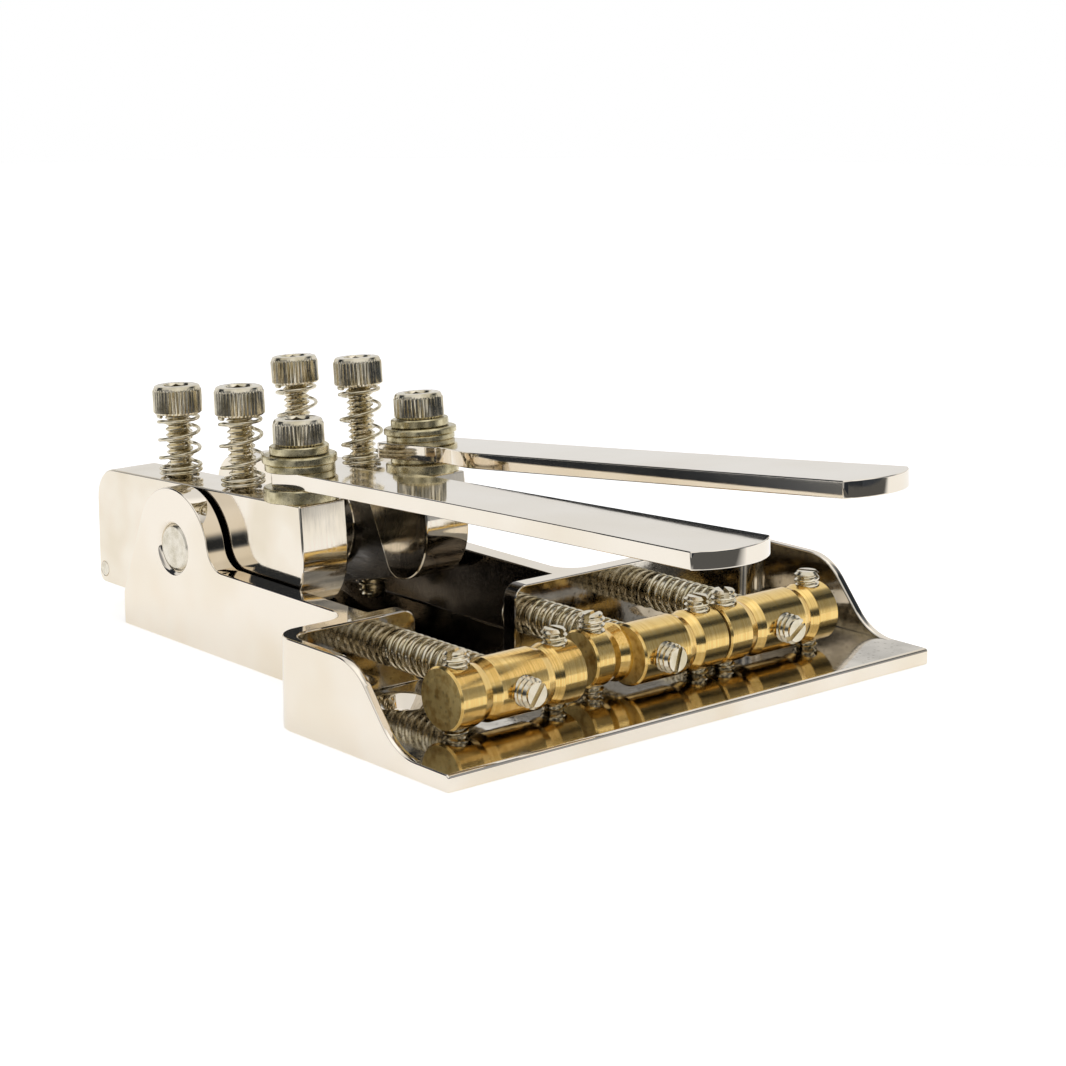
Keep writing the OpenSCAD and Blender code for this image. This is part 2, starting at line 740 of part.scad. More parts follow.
// The bores of a saddle: one along Y for the intonation screw, two along Z at gx, with
// their set-back gy
module saddle_bores(x, gx, gy) {
    translate([x, barrel_y - barrel_d, barrel_z])
        rotate([-90, 0, 0]) cylinder(r = tone_tap_r, h = 3 * barrel_d);
    for (i = [0, 1])
        translate([gx[i], barrel_y + gy[i], 0]) cylinder(r = grub_tap_r, h = 4 * barrel_d);
}

module side_saddle(x) {
    color("goldenrod") difference() {
        translate([x, barrel_y, barrel_z])
            barrel(-barrel_l / 2, barrel_l / 2, barrel_d, [-side_groove, side_groove]);
        saddle_bores(x, [x - side_grub, x + side_grub], [0, 0]);
    }
}

module treble_saddle() { side_saddle(treble_x); }
module bass_saddle() { side_saddle(bass_x); }

// The middle barrel is stepped: the part under the bent string lies further back
module middle_saddle() {
    color("goldenrod") difference() {
        union() {
            translate([0, barrel_y, barrel_z])
                barrel(mid_step_x, mid_right_x, barrel_d, [middle_x + mid_right_groove]);
            translate([0, barrel_y + mid_back, barrel_z])
                barrel(mid_left_x, mid_step_x + barrel_bevel, mid_left_d,
                    [mid_step_x - mid_left_groove]);
        }
        saddle_bores(middle_x, [mid_left_x + grub_in, mid_right_x - grub_in], [mid_back, 0]);
    }
}

// A slotted screw on Z, from 0 up to l
module slotted_rod(d, l, turn) {
    c = 0.4;
    difference() {
        rotate_extrude()
            polygon([[0, 0], [d / 2 - c, 0], [d / 2, c], [d / 2, l - c], [d / 2 - c, l], [0, l]]);
        translate([0, 0, l]) rotate([0, 0, turn])
            cube([2 * d, slot_w, 2 * slot_deep], center = true);
    }
}

// A height screw stands on the floor and its top shows above the barrel
module height_screw(x, back, turn) {
    top = barrel_z + barrel_d / 2 + grub_proud;
    color("silver") translate([x, barrel_y + back, floor_t])
        slotted_rod(grub_d, top - floor_t, turn);
}

module treble_left_height_screw() { height_screw(treble_x - side_grub, 0, 20); }
module treble_right_height_screw() { height_screw(treble_x + side_grub, 0, 90); }
module middle_left_height_screw() { height_screw(mid_left_x + grub_in, mid_back, 20); }
module middle_right_height_screw() { height_screw(mid_right_x - grub_in, 0, 90); }
module bass_left_height_screw() { height_screw(bass_x - side_grub, 0, 60); }
module bass_right_height_screw() { height_screw(bass_x + side_grub, 0, 120); }

// The head lies behind the rear wall and the slotted tip stands out of the barrel
module intonation_screw(x, turn) {
    l = wall_out_y - barrel_y + barrel_d / 2 + tone_proud;
    color("silver")
        translate([x, wall_out_y, barrel_z])
            rotate([90, 0, 0]) {
                slotted_rod(tone_d, l, turn);
                difference() {
                    translate([0, 0, -tone_head_h]) cylinder(d = tone_head_d, h = tone_head_h);
                    translate([0, 0, -tone_head_h])
                        cube([2 * tone_head_d, slot_w, 2 * slot_deep], center = true);
                }
            }
}

module treble_intonation_screw() { intonation_screw(treble_x, 55); }
module middle_intonation_screw() { intonation_screw(middle_x, 75); }
module bass_intonation_screw() { intonation_screw(bass_x, 35); }

// Springs: one tube of six sides, eight rings a curl. The height at each ring comes from
// the list of curl counts and pitches, so the end curls can lie closer than the rest
rings = 8;
sides = 6;

// Height of a coil after t curls, for stages of [curls, pitch]
function climb(t, st, i = 0) =
    i >= len(st) ? 0 :
    t <= st[i][0] ? t * st[i][1] :
    st[i][0] * st[i][1] + climb(t - st[i][0], st, i + 1);
function curls(st) = len(st) == 0 ? 0 : st[0][0] + curls([for (i = [1:1:len(st) - 1]) st[i]]);

function coil_points(r, w, st) =
    let (n = round(curls(st) * rings))
    [for (i = [0:n], k = [0:sides - 1])
        let (a = 360 * i / rings)
        let (z = climb(i / rings, st))
        let (b = 360 * k / sides)
        [(r + w / 2 * cos(b)) * cos(a), (r + w / 2 * cos(b)) * sin(a), z + w / 2 * sin(b)]];

function coil_faces(n) = concat(
    [[for (k = [0:sides - 1]) k]],
    [for (i = [0:n - 1], k = [0:sides - 1])
        let (a = i * sides + k)
        let (b = i * sides + (k + 1) % sides)
        [a, a + sides, b]],
    [for (i = [0:n - 1], k = [0:sides - 1])
        let (b = i * sides + (k + 1) % sides)
        let (c = (i + 1) * sides + k)
        [c, (i + 1) * sides + (k + 1) % sides, b]],
    [[for (k = [sides - 1:-1:0]) n * sides + k]]);

// The least distance between the points of one curl and the next
function coil_gap(p, n) = min([for (i = [0:n - rings + 1], d = [-1:1])
    if (i + rings + d <= n)
        min([for (k = [0:sides - 1], m = [0:sides - 1])
            norm(p[i * sides + k] - p[(i + rings + d) * sides + m])])]);

module coil(name, r, w, st) {
    n = round(curls(st) * rings);
    p = coil_points(r, w, st);
    echo(str(name, ": curls ", n / rings, ", least gap to itself ", coil_gap(p, n), " mm"));
    polyhedron(p, coil_faces(n), convexity = 10);
}

// A block spring fills the height between the block and the head above it: close curls
// at both ends and the wide ones between
module adj_spring(name, x, tilt, fore, rise) {
    close = adj_wire + adj_close_gap;
    low = 1.5;
    high = 1;
    wide = (rise - adj_wire - 2 * e - (low + high) * close) / adj_wide;
    color("silver") at_pivot(x, tilt) on_top(fore)
        translate([0, 0, adj_wire / 2 + e])
            coil(name, (adj_spring_d - adj_wire) / 2, adj_wire,
                [[low, close], [adj_wide, wide], [high, close]]);
}

module b_tuning_spring() { adj_spring("b_tuning_spring", b_x, b_tilt, -tune_back, b_tune_rise); }
module b_stop_spring() { adj_spring("b_stop_spring", b_x, b_tilt, stop_fore, b_stop_rise); }
module g_tuning_spring() { adj_spring("g_tuning_spring", g_x, g_tilt, -tune_back, g_tune_rise); }
module g_stop_spring() { adj_spring("g_stop_spring", g_x, g_tilt, stop_fore, g_stop_rise); }

// An intonation spring fills the way from the barrel's back to the rear wall
module tone_spring(name, x) {
    l = wall_in_y - barrel_y - barrel_d / 2 - tone_wire - 2 * e;
    color("silver")
        translate([x, wall_in_y - tone_wire / 2 - e, barrel_z])
            rotate([90, 0, 0])
                coil(name, (tone_spring_d - tone_wire) / 2, tone_wire, [[tone_curls, l / tone_curls]]);
}

module treble_intonation_spring() { tone_spring("treble_intonation_spring", treble_x); }
module middle_intonation_spring() { tone_spring("middle_intonation_spring", middle_x); }
module bass_intonation_spring() { tone_spring("bass_intonation_spring", bass_x); }

bridge_plate();
pivot_shaft();
thrust_washer();
middle_collar();
outer_collar();
b_bender_block();
b_anchor_pin();
b_lever();
b_lever_bolt();
b_lock_washer();
b_upper_washer();
b_lower_washer();
b_under_washer();
b_tuning_screw();
b_tuning_spring();
b_stop_screw();
b_stop_spring();
g_bender_block();
g_anchor_pin();
g_lever();
g_lever_bolt();
g_lock_washer();
g_upper_washer();
g_lower_washer();
g_spacer();
g_under_washer();
g_tuning_screw();
g_tuning_spring();
g_stop_screw();
g_stop_spring();
treble_saddle();
treble_left_height_screw();
treble_right_height_screw();
treble_intonation_screw();
treble_intonation_spring();
middle_saddle();
middle_left_height_screw();
middle_right_height_screw();
middle_intonation_screw();
middle_intonation_spring();
bass_saddle();
bass_left_height_screw();
bass_right_height_screw();
bass_intonation_screw();
bass_intonation_spring();
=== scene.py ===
"""Guitar bridge with two string-bending levers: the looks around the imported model."""
import math

import bmesh
import bpy
from mathutils import Matrix, Vector


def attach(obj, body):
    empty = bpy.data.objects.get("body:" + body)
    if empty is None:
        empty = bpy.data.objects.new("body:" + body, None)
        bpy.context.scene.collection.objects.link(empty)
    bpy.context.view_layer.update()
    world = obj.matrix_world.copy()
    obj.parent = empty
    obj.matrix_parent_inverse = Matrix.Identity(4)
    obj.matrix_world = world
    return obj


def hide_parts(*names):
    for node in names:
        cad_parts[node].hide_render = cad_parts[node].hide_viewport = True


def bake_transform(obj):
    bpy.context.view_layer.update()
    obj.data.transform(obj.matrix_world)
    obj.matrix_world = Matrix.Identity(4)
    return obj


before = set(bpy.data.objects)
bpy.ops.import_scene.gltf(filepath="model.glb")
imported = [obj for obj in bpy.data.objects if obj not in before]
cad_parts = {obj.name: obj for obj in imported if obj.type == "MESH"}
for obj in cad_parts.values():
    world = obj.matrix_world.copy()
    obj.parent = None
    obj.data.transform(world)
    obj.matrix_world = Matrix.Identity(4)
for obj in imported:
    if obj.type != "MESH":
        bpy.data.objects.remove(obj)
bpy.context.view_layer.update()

MM = 0.001
TURN = 2 * math.pi

# Sizes in millimetres and degrees, as in the part's source. X runs along the row of saddles,
# Y from the lip to the tail, Z up.

# The tray: its floor, swept side walls, rear wall with the strings' notch, mounting holes
TRAY_W = 82
LIP_Y = -26.2
WALL_IN_Y = 5.6
WALL_OUT_Y = 8.0
FLOOR_T = 2.2
WALL_H = 11.7
SIDE_T = 1.2
CORNER_R = 3.8
LIP_BEVEL = 0.3
SWEEP_BACK, SWEEP_FRONT = 21.2, 6
SWEEP_TOP_R, SWEEP_LOW_R = 7.5, 7.9
NOTCH_X, NOTCH_W, NOTCH_R, NOTCH_FLARE = -12, 16.4, 2, 1.2
HOLE_PITCH, HOLE_D, SINK_D = 18.1, 4.2, 7.8
# The tail: two rails that end in round ears, and the shaft through them
RAIL_IN_X = (-26.0, 4.5)
RAIL_OUT_X = (-29.0, 7.5)
ROOT_R = 3.4
TAIL_END_Y, TAIL_STEP = 59.6, 4.6
EAR_R, EAR_ROOT_R, EAR_END, RIM = 8.2, 3.4, 22, 0.5
PIVOT_Y, PIVOT_Z, SHAFT_D = 47.1, 13.1, 6.35
# The bender blocks, from the shaft's axis: outline, crowned front, string pocket, anchor pin
BLOCK_SIDE, BLOCK_FRONT, BLOCK_REAR = 3.7, 24.6, 24.2
BLOCK_TOP, TOP_SLOPE, BLOCK_DROP = 8.1, 3.1, 9.8
NOSE_DROP, NOSE_R, BLOCK_BACK_R, BLOCK_FOOT_R, BELLY_BACK = 5.3, 6, 4.5, 1.2, 4
CROWN_OUT, CROWN_R, CROWN_TILT, CROWN_LEAN, CROWN_UP = 0.25, 20, 4.6, 5.6, 1.3
POCKET_D, POCKET_TOP, POCKET_FORE, POCKET_HEEL_R, POCKET_OPEN = 1.7, 5.2, 12.6, 3, 0.15
POCKET_ROOF_R, POCKET_LEAN, BOSS_R, CHANNEL_DROP = 1.8, 14, 6.6, 5.2
ANCHOR_D, ANCHOR_BACK, ANCHOR_DOWN, ANCHOR_RIM = 2, 22.8, 7.8, 0.12
# The socket head screws of the blocks: the bolt, the stop screw and the tuning screw
SCREW_D, HEAD_D, HEAD_H, TIP_BEVEL, HEAD_BEVEL = 3.7, 6.7, 3.9, 0.8, 0.55
BOLT_HEAD_H, HEX_AF, HEX_DEEP, HEX_MOUTH = 3.4, 3.2, 2.2, 0.35
KNURL_RIDGES, KNURL_DEEP, KNURL_LEDGE, KNURL_END = 40, 0.2, 0.12, 0.75
BOLT_FORE, STOP_FORE, TUNE_BACK, BOLT_DEEP = 20.2, 7.1, 7.8, 9
# The levers, from the bolt's axis, and the washers under and over them
LEVER_T, LEVER_L, LEVER_TAIL = 2.1, 79.9, 3.3
NECK_OUT, NECK_IN, TIP_OUT, TIP_IN, TIP_R = 2.7, 5.4, 4.7, 7.6, 8.7
NECK_L, FLARE_L, LEVER_CORNER_R = 8, 18, 0.8
WASHER_D, SMALL_WASHER_D, SPACER_D, SPACER_T = 9.8, 9.2, 8.4, 0.9
LOCK_D, LOCK_T, LOCK_RISE, LOCK_ROUND, SLIT_TURN = 7.8, 1.2, 0.12, 0.965, 20
# The saddles' barrels, with the strings' grooves; the middle one is stepped
BARREL_D, BARREL_Y, BARREL_Z, BARREL_L = 7.94, -14.9, 6.93, 19.8
TREBLE_X, MIDDLE_X, BASS_X = -22.9, 0.2, 21.5
MID_STEP_X, MID_RIGHT_X, MID_LEFT_X, MID_BACK, MID_LEFT_D = -3.4, 11.2, -9.2, 2.2, 7.5
SIDE_GRUB, MID_LEFT_GRUB, MID_RIGHT_GRUB = 7.7, 7.2, 8.8
SIDE_GROOVE, MID_RIGHT_GROOVE, MID_LEFT_GROOVE = 4.9, 5.4, 1.7
GROOVE_W, GROOVE_DEEP, BARREL_BEVEL = 2.6, 0.4, 0.25
# The intonation screws through the barrels, and the height screws in them
TONE_D, TONE_PROUD, TONE_HEAD_D, TONE_HEAD_H, TONE_HEAD_R = 3.8, 1.9, 5.6, 2.2, 0.8
GRUB_D, GRUB_PROUD, GRUB_BEVEL, SLOT_W, SLOT_DEEP = 3.3, 1.7, 0.4, 0.7, 0.9
# Depth and pitch of each screw's thread
SCREW_THREAD, TONE_THREAD, GRUB_THREAD = (0.42, 0.794), (0.38, 0.794), (0.32, 0.75)
# The springs of the blocks' screws, wound close at their ends, and of the intonation screws
ADJ_WIRE, ADJ_SPRING_D, ADJ_CLOSE_GAP = 0.5, 6, 0.15
ADJ_LOW_CURLS, ADJ_WIDE_CURLS, ADJ_HIGH_CURLS = 2, 2.5, 1
TONE_WIRE, TONE_SPRING_D, TONE_CURLS = 0.55, 5.2, 12
TOUCH = 0.01
# Fits, the screws' gaps over the floor, and how far a block bends
PLAY, LOOSE, TIP_GAP, STOP_GAP, BEND_ANGLE = 0.05, 0.2, 0.05, 0.1, 8
# Rounding of the polished edges
PLATE_EDGE, BLOCK_EDGE, LEVER_EDGE = 0.25, 0.32, 0.16
# How far a cut reaches past what it cuts, and how near to a plane counts as on it
PAST, NEAR = 1, 0.1

TOP_N = BLOCK_TOP * math.cos(math.radians(TOP_SLOPE))
TIP_FLAT = SCREW_D / 2 - TIP_BEVEL
TAP_R = SCREW_D / 2 + PLAY

# The near and the far block: where they sit, how far they tilt at rest, which side their
# pocket and their lever's wide edge face, how high their two screws stand, and the
# thickness of the washers under and over the lever
BLOCKS = {
    "b": {"x": -21.8, "tilt": 0, "side": 1, "swivel": 0, "tune": 8.7, "stop": 9.8,
          "under": 1.8, "lever": 1.8, "over": 1.05},
    "g": {"x": -1.3, "tilt": 2.2, "side": -1, "swivel": 5, "tune": 10.8, "stop": 11.2,
          "under": 1.5, "lever": 1.5 + SPACER_T, "over": 0.85},
}


# ---- Shapes -------------------------------------------------------------------------------


def arc(cx, cy, r, a0, a1, n):
    """Points on a circle from angle a0 to a1, in degrees."""
    turns = [math.radians(a0 + (a1 - a0) * i / n) for i in range(n + 1)]
    return [(cx + r * math.cos(a), cy + r * math.sin(a)) for a in turns]


def disc(cx, cy, r, n=64):
    """A circle's outline."""
    return arc(cx, cy, r, 0, 360, n)[:-1]


def box(x0, x1, y0, y1):
    """A rectangle's outline."""
    return [(x0, y0), (x1, y0), (x1, y1), (x0, y1)]


def prism(outline, axis, low, high):
    """Extrudes an outline along an axis. It is drawn as (Y, Z), (X, Z) or (X, Y)."""
    place = {
        "x": lambda a, b: (low, a, b),
        "y": lambda a, b: (a, low, b),
        "z": lambda a, b: (a, b, low),
    }[axis]
    bm = bmesh.new()
    face = bm.faces.new([bm.verts.new(place(a, b)) for a, b in outline])
    new = bmesh.ops.extrude_face_region(bm, geom=[face])["geom"]
    step = Vector([high - low if name == axis else 0 for name in "xyz"])
    far_end = [v for v in new if isinstance(v, bmesh.types.BMVert)]
    bmesh.ops.translate(bm, verts=far_end, vec=step)
    bmesh.ops.recalc_face_normals(bm, faces=bm.faces)
    return bm


def chain(bm, points, closed=False):
    """Vertices in the XZ plane, joined one to the next, ready to be spun about Z."""
    verts = [bm.verts.new((r, 0, z)) for r, z in points]
    pairs = list(zip(verts, verts[1:])) + ([(verts[-1], verts[0])] if closed else [])
    return verts + [bm.edges.new(pair) for pair in pairs]


def turned(points, steps=96, closed=False):
    """A lathe shape about Z from (radius, height) points."""
    bm = bmesh.new()
    geom = chain(bm, points, closed)
    bmesh.ops.spin(bm, geom=geom, cent=(0, 0, 0), axis=(0, 0, 1), angle=TURN, steps=steps,
                   use_merge=True)
    bmesh.ops.remove_doubles(bm, verts=bm.verts, dist=1e-4)
    bmesh.ops.recalc_face_normals(bm, faces=bm.faces)
    return bm


def thread(radius, depth, pitch, low, high):
    """A closed rod on Z with a V thread, cut square at both heights.

    The tooth's root, flanks and crest are shares of the pitch.
    """
    steps = 24
    turns = math.ceil((high - low) / pitch) + 2
    bm = bmesh.new()
    tooth = [(radius - depth, 0), (radius - depth, 0.1 * pitch), (radius, 0.45 * pitch),
             (radius, 0.65 * pitch), (radius - depth, pitch)]
    geom = chain(bm, tooth)
    bmesh.ops.spin(bm, geom=geom, cent=(0, 0, 0), axis=(0, 0, 1), angle=TURN * turns,
                   steps=steps * turns, dvec=(0, 0, pitch / steps))
    bmesh.ops.remove_doubles(bm, verts=bm.verts, dist=1e-3)
    bmesh.ops.translate(bm, verts=bm.verts, vec=(0, 0, low - 1.5 * pitch))
    for z, way in ((low, -1), (high, 1)):
        bmesh.ops.bisect_plane(bm, geom=bm.verts[:] + bm.edges[:] + bm.faces[:], dist=1e-5,
                               plane_co=(0, 0, z), plane_no=(0, 0, way), clear_outer=True)
    bmesh.ops.holes_fill(bm, edges=bm.edges, sides=0)
    bmesh.ops.recalc_face_normals(bm, faces=bm.faces)
    return bm


def coil(radius, wire, stages, steps=28, sides=10):
    """A wound wire on Z from z = 0, in stages of (curls, pitch)."""
    bm = bmesh.new()
    ring = [(x, z) for x, z in disc(radius, 0, wire / 2, sides)]
    geom = chain(bm, ring, closed=True)
    for curls, pitch in stages:
        n = round(curls * steps)
        done = bmesh.ops.spin(bm, geom=geom, cent=(0, 0, 0), axis=(0, 0, 1),
                              angle=TURN * n / steps, steps=n, dvec=(0, 0, pitch / steps))
        geom = done["geom_last"]
    bmesh.ops.remove_doubles(bm, verts=bm.verts, dist=1e-4)
    bmesh.ops.holes_fill(bm, edges=bm.edges, sides=0)
    bmesh.ops.recalc_face_normals(bm, faces=bm.faces)
    return bm


def moved(bm, matrix):
    """Turns and shifts a shape, and keeps its faces outwards if the matrix mirrors it."""
    bmesh.ops.transform(bm, matrix=matrix, verts=bm.verts)
    if matrix.determinant() < 0:
        bmesh.ops.reverse_faces(bm, faces=bm.faces)
    return bm


def rotated(degrees, axis):
    return Matrix.Rotation(math.radians(degrees), 4, axis)


def combine(bm, others, operation="DIFFERENCE"):
    """Cuts the other shapes out of the first one, or joins them to it."""
    objects = []
    for shape in [bm] + list(others):
        mesh = bpy.data.meshes.new("shape")
        shape.to_mesh(mesh)
        shape.free()
        objects.append(bpy.data.objects.new("shape", mesh))
        bpy.context.scene.collection.objects.link(objects[-1])
    for other in objects[1:]:
        mod = objects[0].modifiers.new("combine", "BOOLEAN")
        mod.object, mod.operation, mod.solver = other, operation, "EXACT"
    seen = objects[0].evaluated_get(bpy.context.evaluated_depsgraph_get())
    mesh = bpy.data.meshes.new_from_object(seen)
    made = bmesh.new()
    made.from_mesh(mesh)
    old = [o.data for o in objects] + [mesh]
    for o in objects:
        bpy.data.objects.remove(o)
    for m in old:
        bpy.data.meshes.remove(m)
    return made


def rounded(bm, width, segments=3, angle=30):
    """Rounds every edge that is sharper than the angle.

    Doubles and flat seams left by the cuts go first. The bevel isn't clamped, because one
    short edge would hold back the width of all the others.
    """
    bmesh.ops.remove_doubles(bm, verts=bm.verts, dist=0.01)
    bmesh.ops.dissolve_limit(bm, angle_limit=math.radians(0.2), verts=bm.verts, edges=bm.edges)
    sharp = [e for e in bm.edges
             if e.is_manifold and e.calc_face_angle(0) > math.radians(angle)]
    bmesh.ops.bevel(bm, geom=sharp, offset=width, segments=segments, profile=0.5,
                    affect="EDGES", clamp_overlap=False, material=-1)
    bmesh.ops.recalc_face_normals(bm, faces=bm.faces)
    return bm


def piece(bm, name, material, body=None, stands_for=None, smooth=28, more=(),
          which=None):
    """Makes the finished object of a shape drawn in millimetres.

    more are its other materials, and which gives the number of a face's material.
    """
    if which:
        for face in bm.faces:
            face.material_index = which(face)
    bmesh.ops.scale(bm, vec=(MM, MM, MM), verts=bm.verts)
    mesh = bpy.data.meshes.new(name)
    bm.to_mesh(mesh)
    bm.free()
    mesh.shade_smooth()
    mesh.set_sharp_from_angle(angle=math.radians(smooth))
    made = bpy.data.objects.new(name, mesh)
    bpy.context.scene.collection.objects.link(made)
    for look in (material, *more):
        mesh.materials.append(look)
    normals = made.modifiers.new("even_normals", "WEIGHTED_NORMAL")
    normals.keep_sharp = True
    if body:
        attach(made, body)
    if stands_for:
        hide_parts(stands_for)
    return made


# ---- Materials ----------------------------------------------------------------------------


def colour(code):
    """Turns an sRGB hex colour into the linear one that Blender's sockets take."""
    parts = [int(code[i:i + 2], 16) / 255 for i in (1, 3, 5)]
    return [c / 12.92 if c <= 0.04045 else ((c + 0.055) / 1.055) ** 2.4 for c in parts] + [1]


def add(tree, kind, inputs=(), **settings):
    """Adds a node. An input is given a value or the socket that it is linked to."""
    node = tree.nodes.new(kind)
    for name, value in settings.items():
        setattr(node, name, value)
    for key, value in dict(inputs).items():
        if isinstance(value, bpy.types.NodeSocket):
            tree.links.new(value, node.inputs[key])
        else:
            node.inputs[key].default_value = value
    return node


# Small brown specks where the plating has gone: their spacing in millimetres and colour
SPECK_GAP, SPECK_BROWN = 0.9, "#5B5140"


def per_mm(size):
    """The pattern scale whose features are about this many millimetres wide."""
    return 1 / (size * MM)


def metal(name, tones, rough, grain, grain_depth, wave, wave_depth, spots=0.0, turned_at=None,
          streaks=False):
    """A bare or plated metal.

    tones are its usual and its worn colour, rough its least and greatest roughness, grain
    the width of its tool marks along X, Y and Z, and wave the width of its slow unevenness.
    The depths are how far the marks and the unevenness rise, all in millimetres. spots is
    how strongly brown specks show. turned_at is the (Y, Z) of the lathe axis of marks that
    run round it, and streaks lets the marks change the colour too.
    """
    material = bpy.data.materials.new(name)
    material.use_nodes = True
    tree = material.node_tree
    tree.nodes.clear()
    place = add(tree, "ShaderNodeTexCoord").outputs["Object"]
    marks_at = place
    if turned_at:
        centre = (0, -turned_at[0] * MM, -turned_at[1] * MM)
        from_axis = add(tree, "ShaderNodeMapping", {"Vector": place, "Location": centre})
        parts = add(tree, "ShaderNodeSeparateXYZ", {"Vector": from_axis.outputs[0]})
        across = add(tree, "ShaderNodeCombineXYZ",
                     {"Y": parts.outputs["Y"], "Z": parts.outputs["Z"]})
        radius = add(tree, "ShaderNodeVectorMath", {0: across.outputs[0]}, operation="LENGTH")
        marks_at = add(tree, "ShaderNodeCombineXYZ",
                       {"X": parts.outputs["X"], "Y": radius.outputs["Value"]}).outputs[0]
    stretch = tuple(per_mm(g) for g in grain)
    lines_at = add(tree, "ShaderNodeMapping", {"Vector": marks_at, "Scale": stretch})
    lines = add(tree, "ShaderNodeTexNoise",
                {"Vector": lines_at.outputs[0], "Scale": 1.0, "Detail": 3.0, "Roughness": 0.6})
    slow = add(tree, "ShaderNodeTexNoise",
               {"Vector": place, "Scale": per_mm(wave), "Detail": 2.0, "Roughness": 0.5})
    handled = add(tree, "ShaderNodeMapRange",
                  {"Value": (lines if streaks else slow).outputs["Fac"], "From Min": 0.42,
                   "From Max": 0.68})
    tint = add(tree, "ShaderNodeMix",
               {0: handled.outputs[0], 6: colour(tones[0]), 7: colour(tones[1])},
               data_type="RGBA")
    base = tint.outputs[2]
    if spots:
        dots = add(tree, "ShaderNodeTexVoronoi", {"Vector": place, "Scale": per_mm(SPECK_GAP)})
        near = add(tree, "ShaderNodeMapRange",
                   {"Value": dots.outputs["Distance"], "From Min": 0.08, "From Max": 0.3,
                    "To Min": spots, "To Max": 0.0})
        base = add(tree, "ShaderNodeMix",
                   {0: near.outputs[0], 6: base, 7: colour(SPECK_BROWN)},
                   data_type="RGBA").outputs[2]
    gloss = add(tree, "ShaderNodeMapRange",
                {"Value": lines.outputs["Fac"], "From Min": 0.3, "From Max": 0.7,
                 "To Min": rough[0], "To Max": rough[1]})
    soft = add(tree, "ShaderNodeBump",
               {"Height": slow.outputs["Fac"], "Strength": 1.0, "Distance": wave_depth * MM})
    fine = add(tree, "ShaderNodeBump",
               {"Height": lines.outputs["Fac"], "Strength": 1.0, "Distance": grain_depth * MM,
                "Normal": soft.outputs[0]})
    shader = add(tree, "ShaderNodeBsdfPrincipled",
                 {"Base Color": base, "Metallic": 1.0, "Roughness": gloss.outputs[0],
                  "Normal": fine.outputs[0]})
    add(tree, "ShaderNodeOutputMaterial", {"Surface": shader.outputs[0]})
    return material


# Polished nickel plate: a warm mirror that bends a little, from hand polishing
plate_nickel = metal("polished_nickel_plate", ("#F1E8DA", "#EBE0CD"), (0.03, 0.07),
                     (0.5, 6, 6), 0.0006, 14, 0.03)
# Nickel over brushed, milled walls inside the tray, with pits that show; its darker tone is a
# painted shade for the inside of the tray
pitted_nickel_painted_shade = metal("pitted_tray_nickel_painted_shade", ("#DAD3C7", "#BAB4A9"), (0.04, 0.11),
                      (0.6, 0.6, 0.6), 0.0025, 6, 0.015, spots=0.4)
# Nickel over raw milling between the rails: pitted, and it blurs what it mirrors; its dark grey
# is a painted shade for the deep channel
channel_nickel_painted_shade = metal("nickel_channel_painted_shade", ("#75706B", "#57524E"), (0.12, 0.26),
                       (0.5, 0.5, 0.5), 0.003, 5, 0.02, spots=0.6)
# Nickel over linished blocks: a mirror with fine upright lines that streak it
block_nickel = metal("linished_nickel_block", ("#EFE6D7", "#E4D9C5"), (0.04, 0.12),
                     (0.35, 0.35, 7), 0.0025, 9, 0.03)
# Nickel over the blocks' milled pockets: it blurs what it mirrors, and its grey is a painted
# shade for the recess
pocket_nickel_painted_shade = metal("milled_nickel_pocket_painted_shade", ("#6B6865", "#524F4C"), (0.14, 0.28),
                      (0.5, 4, 0.5), 0.003, 5, 0.02, spots=0.2)
# Polished nickel strip: the levers' broad tops show hardly any marks
lever_nickel = metal("polished_nickel_lever", ("#F0E8DB", "#E9DFCE"), (0.03, 0.07),
                     (0.4, 9, 3), 0.0005, 16, 0.02)
# Aged nickel plate on the screws: dull and yellowish, with a soft shine
screw_nickel = metal("aged_nickel_screw", ("#E4DBC6", "#CFC4A7"), (0.12, 0.22),
                     (0.5, 0.5, 0.5), 0.0008, 2.2, 0.002, spots=0.05)
# Zinc plate, yellow passivated and rubbed: mottled and half dull
washer_zinc = metal("yellow_zinc_washer", ("#D8CDA9", "#A69B76"), (0.2, 0.36),
                    (0.4, 0.4, 0.4), 0.005, 1.6, 0.01, spots=0.35)
# Ground steel rod: fine lines round it, duller than the plate
shaft_steel = metal("ground_steel_shaft", ("#E6DFD0", "#CFC7B4"), (0.2, 0.34),
                    (0.3, 0.5, 0.5), 0.002, 1.6, 0.008, turned_at=(PIVOT_Y, PIVOT_Z))
# Turned brass rod: golden, with fine rings of the lathe tool that also cross its ends
saddle_brass = metal("turned_brass_saddle", ("#F6D58C", "#DFB662"), (0.11, 0.22),
                     (0.14, 0.3, 1), 0.0022, 3.5, 0.006, spots=0.05,
                     turned_at=(BARREL_Y, BARREL_Z), streaks=True)
# The rods' sawn and faced ends are duller, and brown in places
end_brass = metal("faced_brass_end", ("#F1DA99", "#C3A260"), (0.42, 0.58),
                  (0.3, 0.3, 1), 0.006, 1.2, 0.02, spots=0.3, turned_at=(BARREL_Y, BARREL_Z))
# Spring steel wire: smooth and bright, drawn along its length
spring_wire = metal("bright_spring_wire", ("#DDD4BE", "#C2B796"), (0.12, 0.24),
                    (0.2, 0.2, 0.2), 0.001, 1.5, 0.004)


# ---- The plate ----------------------------------------------------------------------------


def tray_outline(margin, front, back):
    """The tray from above, its rear corners rounded, drawn in by a margin."""
    w = TRAY_W / 2 - margin
    r = CORNER_R - min(margin, 1)
    return ([(-w, front), (w, front)] + arc(w - r, back - r, r, 0, 90, 12)
            + arc(r - w, back - r, r, 90, 180, 12))


